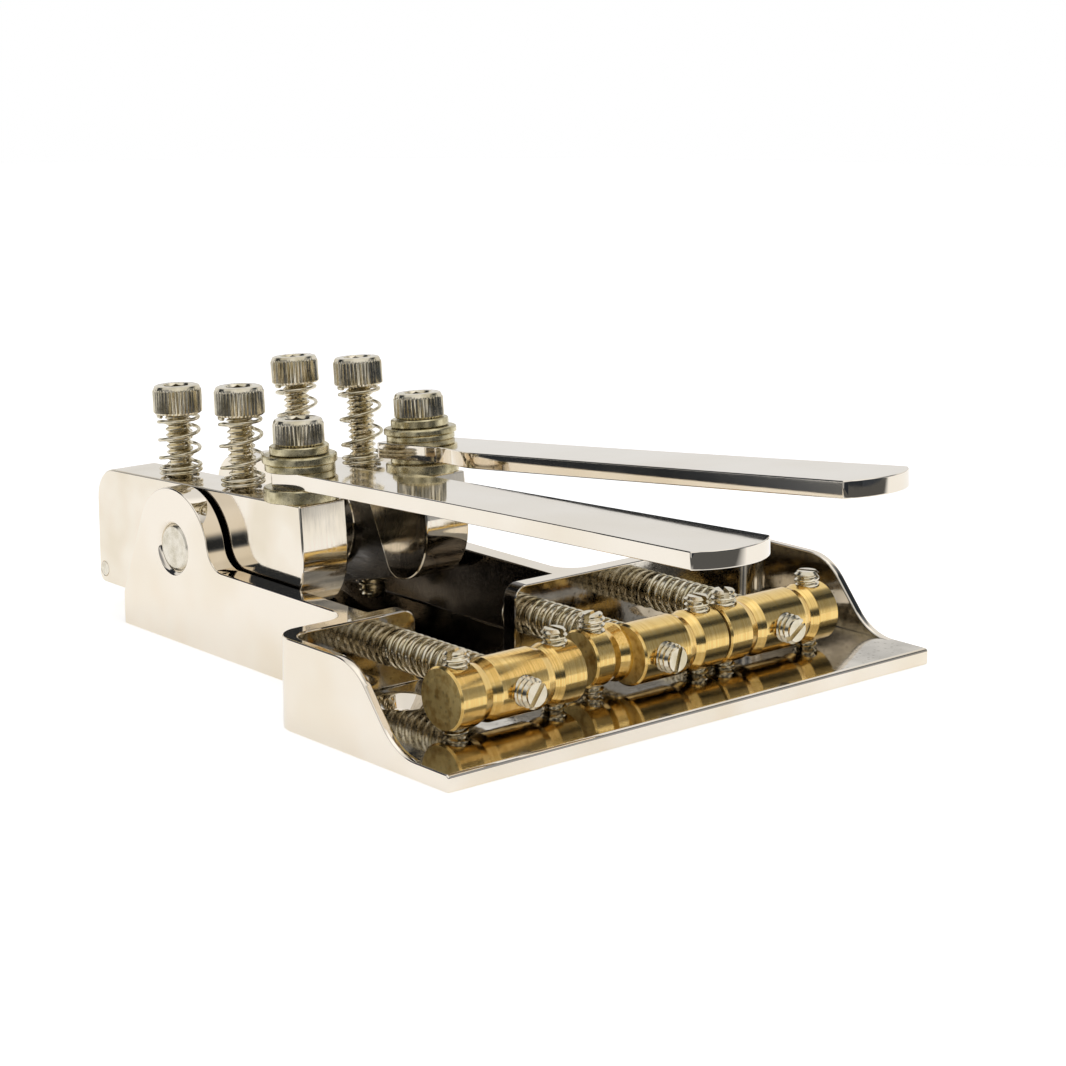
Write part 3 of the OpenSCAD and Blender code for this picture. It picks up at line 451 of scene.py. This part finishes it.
def sweep_profile():
    """What is cut from the side walls: they rise from the lip in an S to full height."""
    y1, y0 = LIP_Y + SWEEP_BACK, LIP_Y + SWEEP_FRONT
    top, low = (y1, WALL_H - SWEEP_TOP_R), (y0, FLOOR_T + SWEEP_LOW_R)
    run, rise = top[0] - low[0], top[1] - low[1]
    lean = math.degrees(math.atan2(rise, run)
                        + math.asin((SWEEP_TOP_R + SWEEP_LOW_R) / math.hypot(run, rise)))
    return ([(LIP_Y - PAST, FLOOR_T)] + arc(*low, SWEEP_LOW_R, -90, lean - 90, 16)
            + arc(*top, SWEEP_TOP_R, lean + 90, 90, 16)
            + [(y1, WALL_H + PAST), (LIP_Y - PAST, WALL_H + PAST)])


def notch_profile():
    """The opening for the bent strings, flared at its foot and rounded at its top."""
    w, r, f, h = NOTCH_W / 2, NOTCH_R, NOTCH_FLARE, WALL_H - FLOOR_T
    half = arc(w - f, f, f, -90, 0, 6) + arc(w + r, h - r, r, 180, 90, 8) + [(w + r, h + PAST)]
    both = half + [(-x, z) for x, z in reversed(half)]
    return [(NOTCH_X + x, FLOOR_T + z) for x, z in both]


def rail_profile():
    """A rail of the tail from the side: level, then up round the ear and down its back."""
    cz = WALL_H + EAR_ROOT_R
    cy = PIVOT_Y - math.sqrt((EAR_R + EAR_ROOT_R) ** 2 - (cz - PIVOT_Z) ** 2)
    turn = math.degrees(math.atan2(cz - PIVOT_Z, cy - PIVOT_Y))
    return ([(WALL_IN_Y + NEAR, 0), (WALL_IN_Y + NEAR, WALL_H)]
            + arc(cy, cz, EAR_ROOT_R, -90, turn - 180, 8)
            + arc(PIVOT_Y, PIVOT_Z, EAR_R, turn, EAR_END, 40)
            + [(TAIL_END_Y, TAIL_STEP), (TAIL_END_Y, 0)])


def root_outline(x, s):
    """The hollow corner between the rear wall and a rail that lies on side s."""
    sunk = 0.5
    turn = (180, 270) if s > 0 else (0, -90)
    curve = arc(x + s * ROOT_R, WALL_OUT_Y + ROOT_R, ROOT_R, *turn, 10)
    return ([(x - s * sunk, WALL_OUT_Y - sunk), (x - s * sunk, WALL_OUT_Y + ROOT_R)] + curve
            + [(x + s * ROOT_R, WALL_OUT_Y - sunk)])


def bridge_plate():
    """The tray hollowed out, the tail joined on, then every hole, then the polished edges."""
    body = prism(tray_outline(0, LIP_Y, WALL_OUT_Y), "z", 0, WALL_H)
    body = combine(body, [
        prism(tray_outline(SIDE_T, LIP_Y - PAST, WALL_IN_Y), "z", FLOOR_T, WALL_H + PAST),
        prism(sweep_profile(), "x", -TRAY_W, TRAY_W),
        prism(notch_profile(), "y", WALL_IN_Y - PAST, WALL_OUT_Y + PAST)])
    tail = [prism(rail_profile(), "x", *sorted(pair)) for pair in zip(RAIL_IN_X, RAIL_OUT_X)]
    tail.append(prism(box(*RAIL_OUT_X, WALL_IN_Y + 0.2, TAIL_END_Y), "z", 0, FLOOR_T))
    tail += [prism(root_outline(x, s), "z", 0, WALL_H) for x, s in zip(RAIL_OUT_X, (-1, 1))]
    body = combine(body, tail, "UNION")
    sink = (SINK_D - HOLE_D) / 2
    cone = [(0, -PAST), (HOLE_D / 2, -PAST), (HOLE_D / 2, FLOOR_T - sink),
            (SINK_D / 2, FLOOR_T), (SINK_D / 2, FLOOR_T + PAST), (0, FLOOR_T + PAST)]
    holes = [moved(turned(cone, 64), Matrix.Translation((k * HOLE_PITCH, 0, 0)))
             for k in (-1.5, -0.5, 0.5, 1.5)]
    holes += [prism(disc(x, BARREL_Z, TONE_D / 2 + LOOSE, 48), "y", WALL_IN_Y - PAST,
                    WALL_OUT_Y + PAST) for x in (TREBLE_X, MIDDLE_X, BASS_X)]
    holes.append(prism(disc(PIVOT_Y, PIVOT_Z, SHAFT_D / 2, 64), "x", RAIL_OUT_X[0] - PAST,
                       RAIL_OUT_X[1] + PAST))
    b = LIP_BEVEL + PAST
    lip = [(LIP_Y - PAST, FLOOR_T - b), (LIP_Y - PAST, FLOOR_T + PAST),
           (LIP_Y + b, FLOOR_T + PAST)]
    holes.append(prism(lip, "x", -TRAY_W, TRAY_W))
    r = SHAFT_D / 2
    for x, way in zip(RAIL_OUT_X, (90, -90)):
        rim = turned([(0, -PAST), (r + RIM + PAST, -PAST), (r, RIM), (0, RIM)], 64)
        at_ear = Matrix.Translation((x, PIVOT_Y, PIVOT_Z)) @ rotated(way, "Y")
        holes.append(moved(rim, at_ear))
    return rounded(combine(body, holes), PLATE_EDGE)


def inside(face):
    """Sorts the plate's faces: 0 outside, 1 inside the tray, 2 in the channel of the tail."""
    # Faces 1 and 2 take the darker nickel, which is a painted shade.
    x, y, z = face.calc_center_median()
    on_floor, wall_edge, lip_edge = FLOOR_T - 0.05, WALL_H - 0.3, LIP_Y + 0.8
    if y < WALL_IN_Y + NEAR:
        return int(on_floor < z < wall_edge and abs(x) < TRAY_W / 2 - SIDE_T + NEAR
                   and y > lip_edge)
    return 2 * int(RAIL_IN_X[0] - NEAR < x < RAIL_IN_X[1] + NEAR and z > on_floor)


piece(bridge_plate(), "plate", plate_nickel, "plate", "bridge_plate",
      more=(pitted_nickel_painted_shade, channel_nickel_painted_shade), which=inside)


# ---- The saddles --------------------------------------------------------------------------


def barrel(x0, x1, d, grooves):
    """A brass rod along X, its ends chamfered, with a V groove for each string."""
    r, c = d / 2, BARREL_BEVEL
    points = [(0, x0), (r - c, x0), (r, x0 + c)]
    for x in grooves:
        points += [(r if k else r - GROOVE_DEEP, x + k * GROOVE_W / 2) for k in (-1, 0, 1)]
    return moved(turned(points + [(r, x1 - c), (r - c, x1), (0, x1)], 128), rotated(90, "Y"))


def bored(bm, x, grubs):
    """Drills a saddle for its intonation screw and its two height screws."""
    bores = [prism(disc(x, BARREL_Z, TONE_D / 2 + PLAY, 48), "y", BARREL_Y - 9, BARREL_Y + 12)]
    bores += [prism(disc(gx, gy, GRUB_D / 2 + PLAY, 40), "z", 0, 20) for gx, gy in grubs]
    return combine(bm, bores)


def slot(low, high):
    """What is cut for a screwdriver, across the widest head."""
    return prism(box(-4, 4, -SLOT_W / 2, SLOT_W / 2), "z", low, high)


def slotted(radius, depth, pitch, length):
    """A threaded rod on Z with a screwdriver slot across its top."""
    rod = thread(radius, depth, pitch, 0, length)
    for v in rod.verts:
        for gap in (v.co.z, length - v.co.z):
            reach = radius - GRUB_BEVEL + max(gap, 0)
            if gap < GRUB_BEVEL and v.co.xy.length > reach:
                v.co.xy *= reach / v.co.xy.length
    return combine(rod, [slot(length - SLOT_DEEP, length + PAST)])


GRUB = slotted(GRUB_D / 2, *GRUB_THREAD, BARREL_Z + BARREL_D / 2 + GRUB_PROUD - FLOOR_T)


def height_screw(name, x, y, turn):
    """Stands on the tray's floor in its barrel."""
    place = Matrix.Translation((x, y, FLOOR_T)) @ rotated(turn, "Z")
    piece(moved(GRUB.copy(), place), name, screw_nickel, name, name)


def tone_screw():
    """An intonation screw on Z: its head below 0, its slotted tip at the far end."""
    screw = slotted(TONE_D / 2, *TONE_THREAD,
                    WALL_OUT_Y - BARREL_Y + BARREL_D / 2 + TONE_PROUD)
    r, h, c = TONE_HEAD_D / 2, TONE_HEAD_H, TONE_HEAD_R
    head = turned([(0, -h)] + arc(r - c, c - h, c, -90, 0, 5) + [(r, 0), (0, 0)], 64)
    return combine(screw, [combine(head, [slot(-h - PAST, SLOT_DEEP - h)])], "UNION")


TONE_SCREW = tone_screw()


def intonation_screw(name, x, turn):
    """Lies through the rear wall and its barrel."""
    place = (Matrix.Translation((x, WALL_OUT_Y, BARREL_Z)) @ rotated(90, "X")
             @ rotated(turn, "Z"))
    piece(moved(TONE_SCREW.copy(), place), name, screw_nickel, name, name)


def intonation_spring(name, x):
    """Lies between the rear wall and the barrel's back."""
    length = WALL_IN_Y - BARREL_Y - BARREL_D / 2 - TONE_WIRE - 2 * TOUCH
    start = WALL_IN_Y - TONE_WIRE / 2 - TOUCH
    wound = coil((TONE_SPRING_D - TONE_WIRE) / 2, TONE_WIRE,
                 [(TONE_CURLS, length / TONE_CURLS)])
    place = Matrix.Translation((x, start, BARREL_Z)) @ rotated(90, "X")
    made = piece(moved(wound, place), name, spring_wire, None, name, 60)
    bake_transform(made)


# Where each saddle is, how its intonation screw's slot is turned, and its left and right
# height screws: where they are from its middle, and how their slots are turned
SADDLES = {
    "treble": (TREBLE_X, 55, [(-SIDE_GRUB, 0, 20), (SIDE_GRUB, 0, 90)]),
    "middle": (MIDDLE_X, 75, [(-MID_LEFT_GRUB, MID_BACK, 20), (MID_RIGHT_GRUB, 0, 90)]),
    "bass": (BASS_X, 35, [(-SIDE_GRUB, 0, 60), (SIDE_GRUB, 0, 120)]),
}
for string, (x, tip_turn, grubs) in SADDLES.items():
    if string == "middle":
        rod = moved(barrel(MID_STEP_X, MID_RIGHT_X, BARREL_D, [x + MID_RIGHT_GROOVE]),
                    Matrix.Translation((0, BARREL_Y, BARREL_Z)))
        step = moved(barrel(MID_LEFT_X, MID_STEP_X + BARREL_BEVEL, MID_LEFT_D,
                            [MID_STEP_X - MID_LEFT_GROOVE]),
                     Matrix.Translation((0, BARREL_Y + MID_BACK, BARREL_Z)))
        rod = combine(rod, [step], "UNION")
    else:
        rod = moved(barrel(-BARREL_L / 2, BARREL_L / 2, BARREL_D, [-SIDE_GROOVE, SIDE_GROOVE]),
                    Matrix.Translation((x, BARREL_Y, BARREL_Z)))
    at = [(x + gx, BARREL_Y + gy) for gx, gy, _ in grubs]
    saddle = string + "_saddle"
    piece(bored(rod, x, at), string + "_barrel", saddle_brass, saddle, saddle,
          smooth=12, more=(end_brass,), which=lambda face: int(abs(face.normal.x) > 0.95))
    for side, (gx, gy), (_, _, turn) in zip(("left", "right"), at, grubs):
        height_screw(f"{string}_{side}_height_screw", gx, gy, turn)
    intonation_screw(string + "_intonation_screw", x, tip_turn)
    intonation_spring(string + "_intonation_spring", x)


# ---- The blocks and what they carry -------------------------------------------------------


def block_outline():
    """A block from the side: the crowned front, the nose, the belly, the foot and the back."""
    slope = math.tan(math.radians(TOP_SLOPE))
    back_y = BLOCK_REAR - BLOCK_BACK_R
    back_z = BLOCK_TOP - slope * back_y - BLOCK_BACK_R / math.cos(math.radians(TOP_SLOPE))
    front, low = -BLOCK_FRONT - CROWN_OUT, NOSE_R - NOSE_DROP + CROWN_UP
    crown = arc(front + CROWN_R, low, CROWN_R, 180 - CROWN_TILT, 180, 6)
    (y, z), t = crown[0], math.tan(math.radians(CROWN_LEAN))
    top_z = (BLOCK_TOP - slope * y + slope * t * z) / (1 + slope * t)
    return ([(y + (top_z - z) * t, top_z)] + crown
            + [(a, low + (b - low) * (1 + CROWN_UP / NOSE_R))
               for a, b in arc(NOSE_R + front, low, NOSE_R, 180, 270, 16)[1:]]
            + [(BELLY_BACK, -BLOCK_DROP)]
            + arc(BLOCK_REAR - BLOCK_FOOT_R, BLOCK_FOOT_R - BLOCK_DROP, BLOCK_FOOT_R, -90, 0, 5)
            + arc(back_y, back_z, BLOCK_BACK_R, 0, 90 - TOP_SLOPE, 10))


def pocket_outline():
    """The string's pocket from the side, open below and to the rear."""
    heel = (NOSE_R - BLOCK_FRONT, POCKET_HEEL_R - NOSE_DROP - POCKET_OPEN)
    roof = (POCKET_ROOF_R - POCKET_FORE, POCKET_TOP - POCKET_ROOF_R)
    return (arc(*heel, POCKET_HEEL_R, -90, -POCKET_LEAN, 8)
            + arc(*roof, POCKET_ROOF_R, 180 - POCKET_LEAN, 90, 6)
            + [(0, POCKET_TOP), (0, -CHANNEL_DROP), (BLOCK_REAR + PAST, -CHANNEL_DROP),
               (BLOCK_REAR + PAST, -BLOCK_DROP - PAST), (heel[0], -BLOCK_DROP - PAST)])


def at_pivot(block):
    """A block's own place: on the shaft's axis, tilted as the block rests."""
    return Matrix.Translation((block["x"], PIVOT_Y, PIVOT_Z)) @ rotated(-block["tilt"], "X")


def on_top(block, fore):
    """The place on a block's sloping top that lies fore of the pivot, Z square to it."""
    return at_pivot(block) @ rotated(-TOP_SLOPE, "X") @ Matrix.Translation((0, -fore, TOP_N))


def bender_block(block):
    """A block with its pocket and its tapped holes, its edges polished round.

    The anchor pin's bore comes after the rounding, because it lies on the block's edge.
    """
    body = prism(block_outline(), "x", -BLOCK_SIDE, BLOCK_SIDE)
    outer = BLOCK_SIDE + PAST
    span = ((BLOCK_SIDE - POCKET_D, outer) if block["side"] > 0
            else (-outer, POCKET_D - BLOCK_SIDE))
    pocket = combine(prism(pocket_outline(), "x", *span),
                     [prism(disc(0, 0, BOSS_R, 72), "x", -9, 9)])
    tilted = rotated(-TOP_SLOPE, "X")
    rim = turned([(0, -PAST), (ANCHOR_D / 2 + ANCHOR_RIM + PAST, -PAST),
                  (ANCHOR_D / 2, ANCHOR_RIM), (0, ANCHOR_RIM)], 48)
    at_pin = Matrix.Translation((-BLOCK_SIDE, ANCHOR_BACK, -ANCHOR_DOWN)) @ rotated(90, "Y")
    pin_bores = [moved(rim, at_pin),
                 prism(disc(ANCHOR_BACK, -ANCHOR_DOWN, ANCHOR_D / 2, 48), "x", -9, 9)]
    bores = [prism(disc(0, 0, SHAFT_D / 2 + PLAY, 64), "x", -9, 9)]
    through = 30
    for fore, deep in ((BOLT_FORE, BOLT_DEEP + PAST), (STOP_FORE, through),
                       (-TUNE_BACK, through)):
        hole = prism(disc(0, -fore, TAP_R, 40), "z", TOP_N - deep, TOP_N + 5)
        bores.append(moved(hole, tilted))
    body = rounded(combine(body, [pocket] + bores), BLOCK_EDGE)
    return moved(combine(body, pin_bores), at_pivot(block))


def cap_screw(deep, high=HEAD_H):
    """A socket head cap screw on Z: its knurled head above 0, its thread down to -deep."""
    r, knurl_top = HEAD_D / 2, high - KNURL_END
    neck = r - KNURL_LEDGE
    head = turned([(0, 0), (r - 0.3, 0), (r, 0.25), (r, knurl_top), (neck, knurl_top + 0.25),
                   (neck - 0.08, high - 0.25), (neck - 0.2, high - 0.08), (neck - 0.4, high),
                   (0, high)], 4 * KNURL_RIDGES)
    for v in head.verts:
        if 0.1 < v.co.z < knurl_top + 0.1 and v.co.xy.length > neck:
            phase = math.atan2(v.co.y, v.co.x) / TURN * KNURL_RIDGES
            dip = abs(phase - round(phase)) * 2
            v.co.xy *= 1 - KNURL_DEEP * dip / r
    flat = HEX_AF / 2 / math.cos(math.pi / 6)
    socket = prism(disc(0, 0, flat, 6), "z", high - HEX_DEEP, high + PAST)
    mouth = high - HEX_MOUTH
    entry = turned([(0, mouth), (flat - 0.25, mouth), (flat + 0.1, high),
                    (flat + 0.1, high + PAST), (0, high + PAST)], 48)
    shank = thread(SCREW_D / 2, *SCREW_THREAD, -deep, 0.4)
    for v in shank.verts:
        reach = TIP_FLAT + v.co.z + deep
        if v.co.xy.length > reach:
            v.co.xy *= reach / v.co.xy.length
    return combine(combine(head, [socket, entry]), [shank], "UNION")


def tip_depth(block, fore, lift):
    """How far a screw's tip reaches below the block's top, for a tip lift above the floor."""
    lean = math.radians(TOP_SLOPE + block["tilt"])
    top_z = PIVOT_Z + fore * math.sin(lean) + TOP_N * math.cos(lean)
    return (top_z - FLOOR_T - lift) / math.cos(lean) - TIP_FLAT * math.tan(lean)


def stop_lift(block):
    """The height of a stop screw's tip at rest, so that it lands after the full bend."""
    lean = math.radians(TOP_SLOPE + block["tilt"])
    return ((STOP_FORE - TIP_FLAT) * math.sin(lean)
            - (STOP_FORE + TIP_FLAT) * math.sin(lean - math.radians(BEND_ANGLE)) + STOP_GAP)


def lever_outline():
    """A lever from above: one edge bows out evenly, the other flares behind the neck."""
    r = LEVER_CORNER_R
    tip = ((TIP_IN - TIP_OUT) / 2, TIP_R - LEVER_L)
    a = math.degrees(math.asin((TIP_IN + TIP_OUT) / 2 / TIP_R))
    rear, front = LEVER_TAIL - r, tip[1] - TIP_R * math.cos(math.radians(a))
    outer = [(-NECK_OUT - (TIP_OUT - NECK_OUT) * t * t, rear + (front - rear) * t)
             for t in [i / 24 for i in range(1, 24)]]
    flare = [(TIP_IN - (TIP_IN - NECK_IN) * (1 - math.cos(math.pi * t)) / 2,
              -FLARE_L + (FLARE_L - NECK_L) * t) for t in [i / 16 for i in range(17)]]
    return (arc(r - NECK_OUT, rear, r, 90, 180, 6) + outer
            + arc(*tip, TIP_R, -90 - a, -90 + a, 24) + flare
            + arc(NECK_IN - r, rear, r, 0, 90, 6))


def lever(block):
    """A lever on its block, its wide edge on the pocket's side."""
    outline = [(x * block["side"], y) for x, y in lever_outline()]
    strip = prism(outline, "z", block["lever"], block["lever"] + LEVER_T)
    hole = prism(disc(0, 0, SCREW_D / 2 + PLAY, 48), "z", 0, 9)
    return moved(rounded(combine(strip, [hole]), LEVER_EDGE),
                 on_top(block, BOLT_FORE) @ rotated(block["swivel"], "Z"))


def flat_washer(z, t, d):
    """A stamped washer: rolled over on one face, sharper on the other."""
    r, hole, edge, roll = d / 2, SCREW_D / 2 + LOOSE, 0.08, 0.3
    return turned([(hole, z), (r - edge, z), (r, z + edge)]
                  + arc(r - roll, z + t - roll, roll, 0, 90, 4)
                  + [(hole + 0.1, z + t), (hole, z + t - 0.1)], 96, closed=True)


def lock_washer(z):
    """A split ring, its cut ends a little out of line."""
    r, hole, steps = LOCK_D / 2, SCREW_D / 2 + LOOSE, 72
    top = z + LOCK_T - LOCK_RISE
    bm = bmesh.new()
    section = [(hole, z), (r - 0.1, z), (r, z + 0.1), (r, top - 0.15), (r - 0.15, top),
               (hole, top)]
    geom = chain(bm, section, closed=True)
    bmesh.ops.spin(bm, geom=geom, cent=(0, 0, 0), axis=(0, 0, 1), angle=TURN * LOCK_ROUND,
                   steps=steps, dvec=(0, 0, LOCK_RISE / steps))
    bmesh.ops.holes_fill(bm, edges=bm.edges, sides=0)
    bmesh.ops.recalc_face_normals(bm, faces=bm.faces)
    return moved(bm, rotated(SLIT_TURN + 180 * (1 - LOCK_ROUND), "Z"))


def block_spring(name, block, fore, rise):
    """Stands on the block's top under a screw's head: close curls at its ends, wide between."""
    close = ADJ_WIRE + ADJ_CLOSE_GAP
    spread = rise - ADJ_WIRE - 2 * TOUCH - (ADJ_LOW_CURLS + ADJ_HIGH_CURLS) * close
    wound = coil((ADJ_SPRING_D - ADJ_WIRE) / 2, ADJ_WIRE,
                 [(ADJ_LOW_CURLS, close), (ADJ_WIDE_CURLS, spread / ADJ_WIDE_CURLS),
                  (ADJ_HIGH_CURLS, close)])
    top = on_top(block, fore)
    place = top @ Matrix.Translation((0, 0, ADJ_WIRE / 2 + TOUCH))
    made = piece(moved(wound, place), name, spring_wire, None, name, 60)
    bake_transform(made)


for key, block in BLOCKS.items():
    body = key + "_block"
    bolt = on_top(block, BOLT_FORE)
    pocket_x = block["x"] + block["side"] * (BLOCK_SIDE - POCKET_D)
    # The pocket's faces take the grey nickel, a painted shade
    piece(bender_block(block), key + "_block_body", block_nickel, body,
          key + "_bender_block", more=(pocket_nickel_painted_shade,),
          which=lambda face: int(abs(face.calc_center_median().x - pocket_x) < NEAR))
    piece(lever(block), key + "_lever", lever_nickel, key + "_lever",
          key + "_lever")
    over, on_lever = block["over"], block["lever"] + LEVER_T
    bolt_z = on_lever + 2 * over + LOCK_T
    stack = [("lock_washer", lock_washer(bolt_z - LOCK_T)),
             ("upper_washer", flat_washer(on_lever + over, over, WASHER_D)),
             ("lower_washer", flat_washer(on_lever, over, SMALL_WASHER_D)),
             ("under_washer", flat_washer(0, block["under"], WASHER_D))]
    if key == "g":
        stack.append(("spacer", flat_washer(block["under"], SPACER_T, SPACER_D)))
    for part, shape in stack:
        name = f"{key}_{part}"
        piece(moved(shape, bolt), name, washer_zinc, body, name)
    name = key + "_lever_bolt"
    screw = cap_screw(bolt_z + BOLT_DEEP - 0.5, BOLT_HEAD_H)
    piece(moved(screw, bolt @ Matrix.Translation((0, 0, bolt_z))), name, screw_nickel,
          body, name)
    for part, fore, rise, lift in (("tuning", -TUNE_BACK, block["tune"], TIP_GAP),
                                   ("stop", STOP_FORE, block["stop"], stop_lift(block))):
        name = f"{key}_{part}_screw"
        screw = cap_screw(rise + tip_depth(block, fore, lift))
        place = on_top(block, fore) @ Matrix.Translation((0, 0, rise))
        piece(moved(screw, place), name, screw_nickel, name, name)
        block_spring(f"{key}_{part}_spring", block, fore, rise)

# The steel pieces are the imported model's own
for node in ("pivot_shaft", "thrust_washer", "middle_collar", "outer_collar", "b_anchor_pin",
             "g_anchor_pin"):
    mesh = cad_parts[node].data
    mesh.materials.clear()
    mesh.materials.append(shaft_steel)


# ---- Floor, light and camera --------------------------------------------------------------

# The studio, seen from the bridge: compass direction (from +Y towards +X) and height of each
# light or dark screen, its half width and the softness of its edge, all in degrees, and what
# it adds to the level. Dark places look a little blue.
STUDIO_LEVEL, DARKEST, DUSK_LEVEL, DUSK_BLUE = 0.84, 0.05, 0.5, "#BACBE6"
SCREENS = [
    (316, 7, 14, 6, -0.8),
    (317, 24, 14, 6, -0.8),
    (335, 40, 14, 6, -0.8),
    (5, 46, 13, 6, -0.75),
    (104, 42, 13, 7, -0.7),
    (130, 27, 17, 8, -0.5),
    (213, -4, 23, 9, -0.8),
    (166, 0, 23, 9, -0.76),
    (270, 16, 22, 12, -0.5),
    (98, 68, 18, 10, 0.35),
    (210, 48, 22, 10, 0.1),
    (40, 14, 30, 14, -0.02),
]


def studio():
    """Soft light from all round, as the object sees it, with a white backdrop for the eye."""
    world = bpy.data.worlds.new("studio")
    bpy.context.scene.world = world
    world.use_nodes = True
    tree = world.node_tree
    tree.nodes.clear()
    way = add(tree, "ShaderNodeTexCoord").outputs["Generated"]
    total = STUDIO_LEVEL
    for compass, up, half, edge, gain in SCREENS:
        a, b = math.radians(compass), math.radians(up)
        aim = (math.sin(a) * math.cos(b), math.cos(a) * math.cos(b), math.sin(b))
        facing = add(tree, "ShaderNodeVectorMath", {0: way, 1: aim}, operation="DOT_PRODUCT")
        lit = add(tree, "ShaderNodeMapRange",
                  {"Value": facing.outputs["Value"],
                   "From Min": math.cos(math.radians(half + edge)),
                   "From Max": math.cos(math.radians(max(half - edge, 1))),
                   "To Min": 0.0, "To Max": gain}, interpolation_type="SMOOTHSTEP")
        total = add(tree, "ShaderNodeMath", {0: total, 1: lit.outputs[0]},
                    operation="ADD").outputs[0]
    level = add(tree, "ShaderNodeMath", {0: total, 1: DARKEST}, operation="MAXIMUM")
    eye = add(tree, "ShaderNodeLightPath").outputs["Is Camera Ray"]
    seen = add(tree, "ShaderNodeMix", {0: eye, 2: level.outputs[0], 3: 1.0}, data_type="FLOAT")
    dusk = add(tree, "ShaderNodeMapRange", {"Value": seen.outputs[0], "From Max": DUSK_LEVEL})
    tint = add(tree, "ShaderNodeMix",
               {0: dusk.outputs[0], 6: colour(DUSK_BLUE), 7: (1, 1, 1, 1)}, data_type="RGBA")
    light = add(tree, "ShaderNodeBackground",
                {"Color": tint.outputs[2], "Strength": seen.outputs[0]})
    add(tree, "ShaderNodeOutputWorld", {"Surface": light.outputs[0]})


# The paper's painted shade, in metres along the ground towards the camera's side; how white it
# is near and far as the bridge sees it, dark far off as a painted shade for the studio's dark
# side, and as the camera sees it, and its own glow there
FRONT_WAY, PAINTED_SHADE_FROM, PAINTED_SHADE_TO = (-0.656, -0.755, 0), 0.07, 0.13
PAPER_NEAR, PAPER_PAINTED_DARK, PAPER_SEEN, PAPER_GLOW = 0.85, 0.08, 0.9, 0.55


def white_floor():
    """A white sheet. It keeps the bridge's shadow; towards the front it is painted dark, a
    painted shade.
    """
    bm = bmesh.new()
    bmesh.ops.create_circle(bm, cap_ends=True, segments=64, radius=0.7)
    mesh = bpy.data.meshes.new("floor")
    bm.to_mesh(mesh)
    bm.free()
    floor = bpy.data.objects.new("floor", mesh)
    bpy.context.scene.collection.objects.link(floor)
    material = bpy.data.materials.new("white_paper_painted_shade")
    material.use_nodes = True
    tree = material.node_tree
    tree.nodes.clear()
    path = add(tree, "ShaderNodeLightPath")
    place = add(tree, "ShaderNodeTexCoord").outputs["Object"]
    ahead = add(tree, "ShaderNodeVectorMath", {0: place, 1: FRONT_WAY},
                operation="DOT_PRODUCT")
    # near: the paper off the camera's path, painted dark towards the front as a painted shade
    near = add(tree, "ShaderNodeMapRange",
               {"Value": ahead.outputs["Value"], "From Min": PAINTED_SHADE_FROM, "From Max": PAINTED_SHADE_TO,
                "To Min": PAPER_NEAR, "To Max": PAPER_PAINTED_DARK})
    eye, mirror = path.outputs["Is Camera Ray"], path.outputs["Is Glossy Ray"]
    white = add(tree, "ShaderNodeMix", {0: eye, 2: near.outputs[0], 3: PAPER_SEEN},
                data_type="FLOAT")
    paper = add(tree, "ShaderNodeBsdfDiffuse", {"Color": white.outputs[0]})
    mirrored = add(tree, "ShaderNodeMath", {0: mirror, 1: near.outputs[0]},
                   operation="MULTIPLY")
    seen = add(tree, "ShaderNodeMath", {0: eye, 1: mirrored.outputs[0]}, operation="ADD")
    strength = add(tree, "ShaderNodeMath", {0: seen.outputs[0], 1: PAPER_GLOW},
                   operation="MULTIPLY")
    glow = add(tree, "ShaderNodeEmission", {"Strength": strength.outputs[0]})
    both = add(tree, "ShaderNodeAddShader", {0: paper.outputs[0], 1: glow.outputs[0]})
    add(tree, "ShaderNodeOutputMaterial", {"Surface": both.outputs[0]})
    mesh.materials.append(material)


# The camera that was fitted to the photograph's straight edges: degrees, and millimetres
AZIMUTH, ELEVATION, ROLL = 41.051, 13.311, 0.285
CAMERA_AT, LENS, SENSOR, SHIFT = (-224.083, -250.766, 99.158), 91.07, 36, (0.000258, -0.00207)


def photo_camera():
    """The camera where the photograph was taken from."""
    az, el, roll = math.radians(AZIMUTH), math.radians(ELEVATION), math.radians(ROLL)
    ahead = Vector((math.sin(az) * math.cos(el), math.cos(az) * math.cos(el), -math.sin(el)))
    level = Vector((math.cos(az), -math.sin(az), 0))
    upright = level.cross(ahead)
    right = level * math.cos(roll) + upright * math.sin(roll)
    up = upright * math.cos(roll) - level * math.sin(roll)
    data = bpy.data.cameras.new("camera")
    data.lens, data.sensor_width = LENS, SENSOR
    data.shift_x, data.shift_y = SHIFT
    data.clip_start, data.clip_end = 0.01, 10
    camera = bpy.data.objects.new("camera", data)
    bpy.context.scene.collection.objects.link(camera)
    turn = Matrix((right, up, -ahead)).transposed().to_4x4()
    camera.matrix_world = Matrix.Translation(Vector(CAMERA_AT) * MM) @ turn
    bpy.context.scene.camera = camera


studio()
white_floor()
photo_camera()
bpy.context.scene.view_settings.view_transform = "Standard"
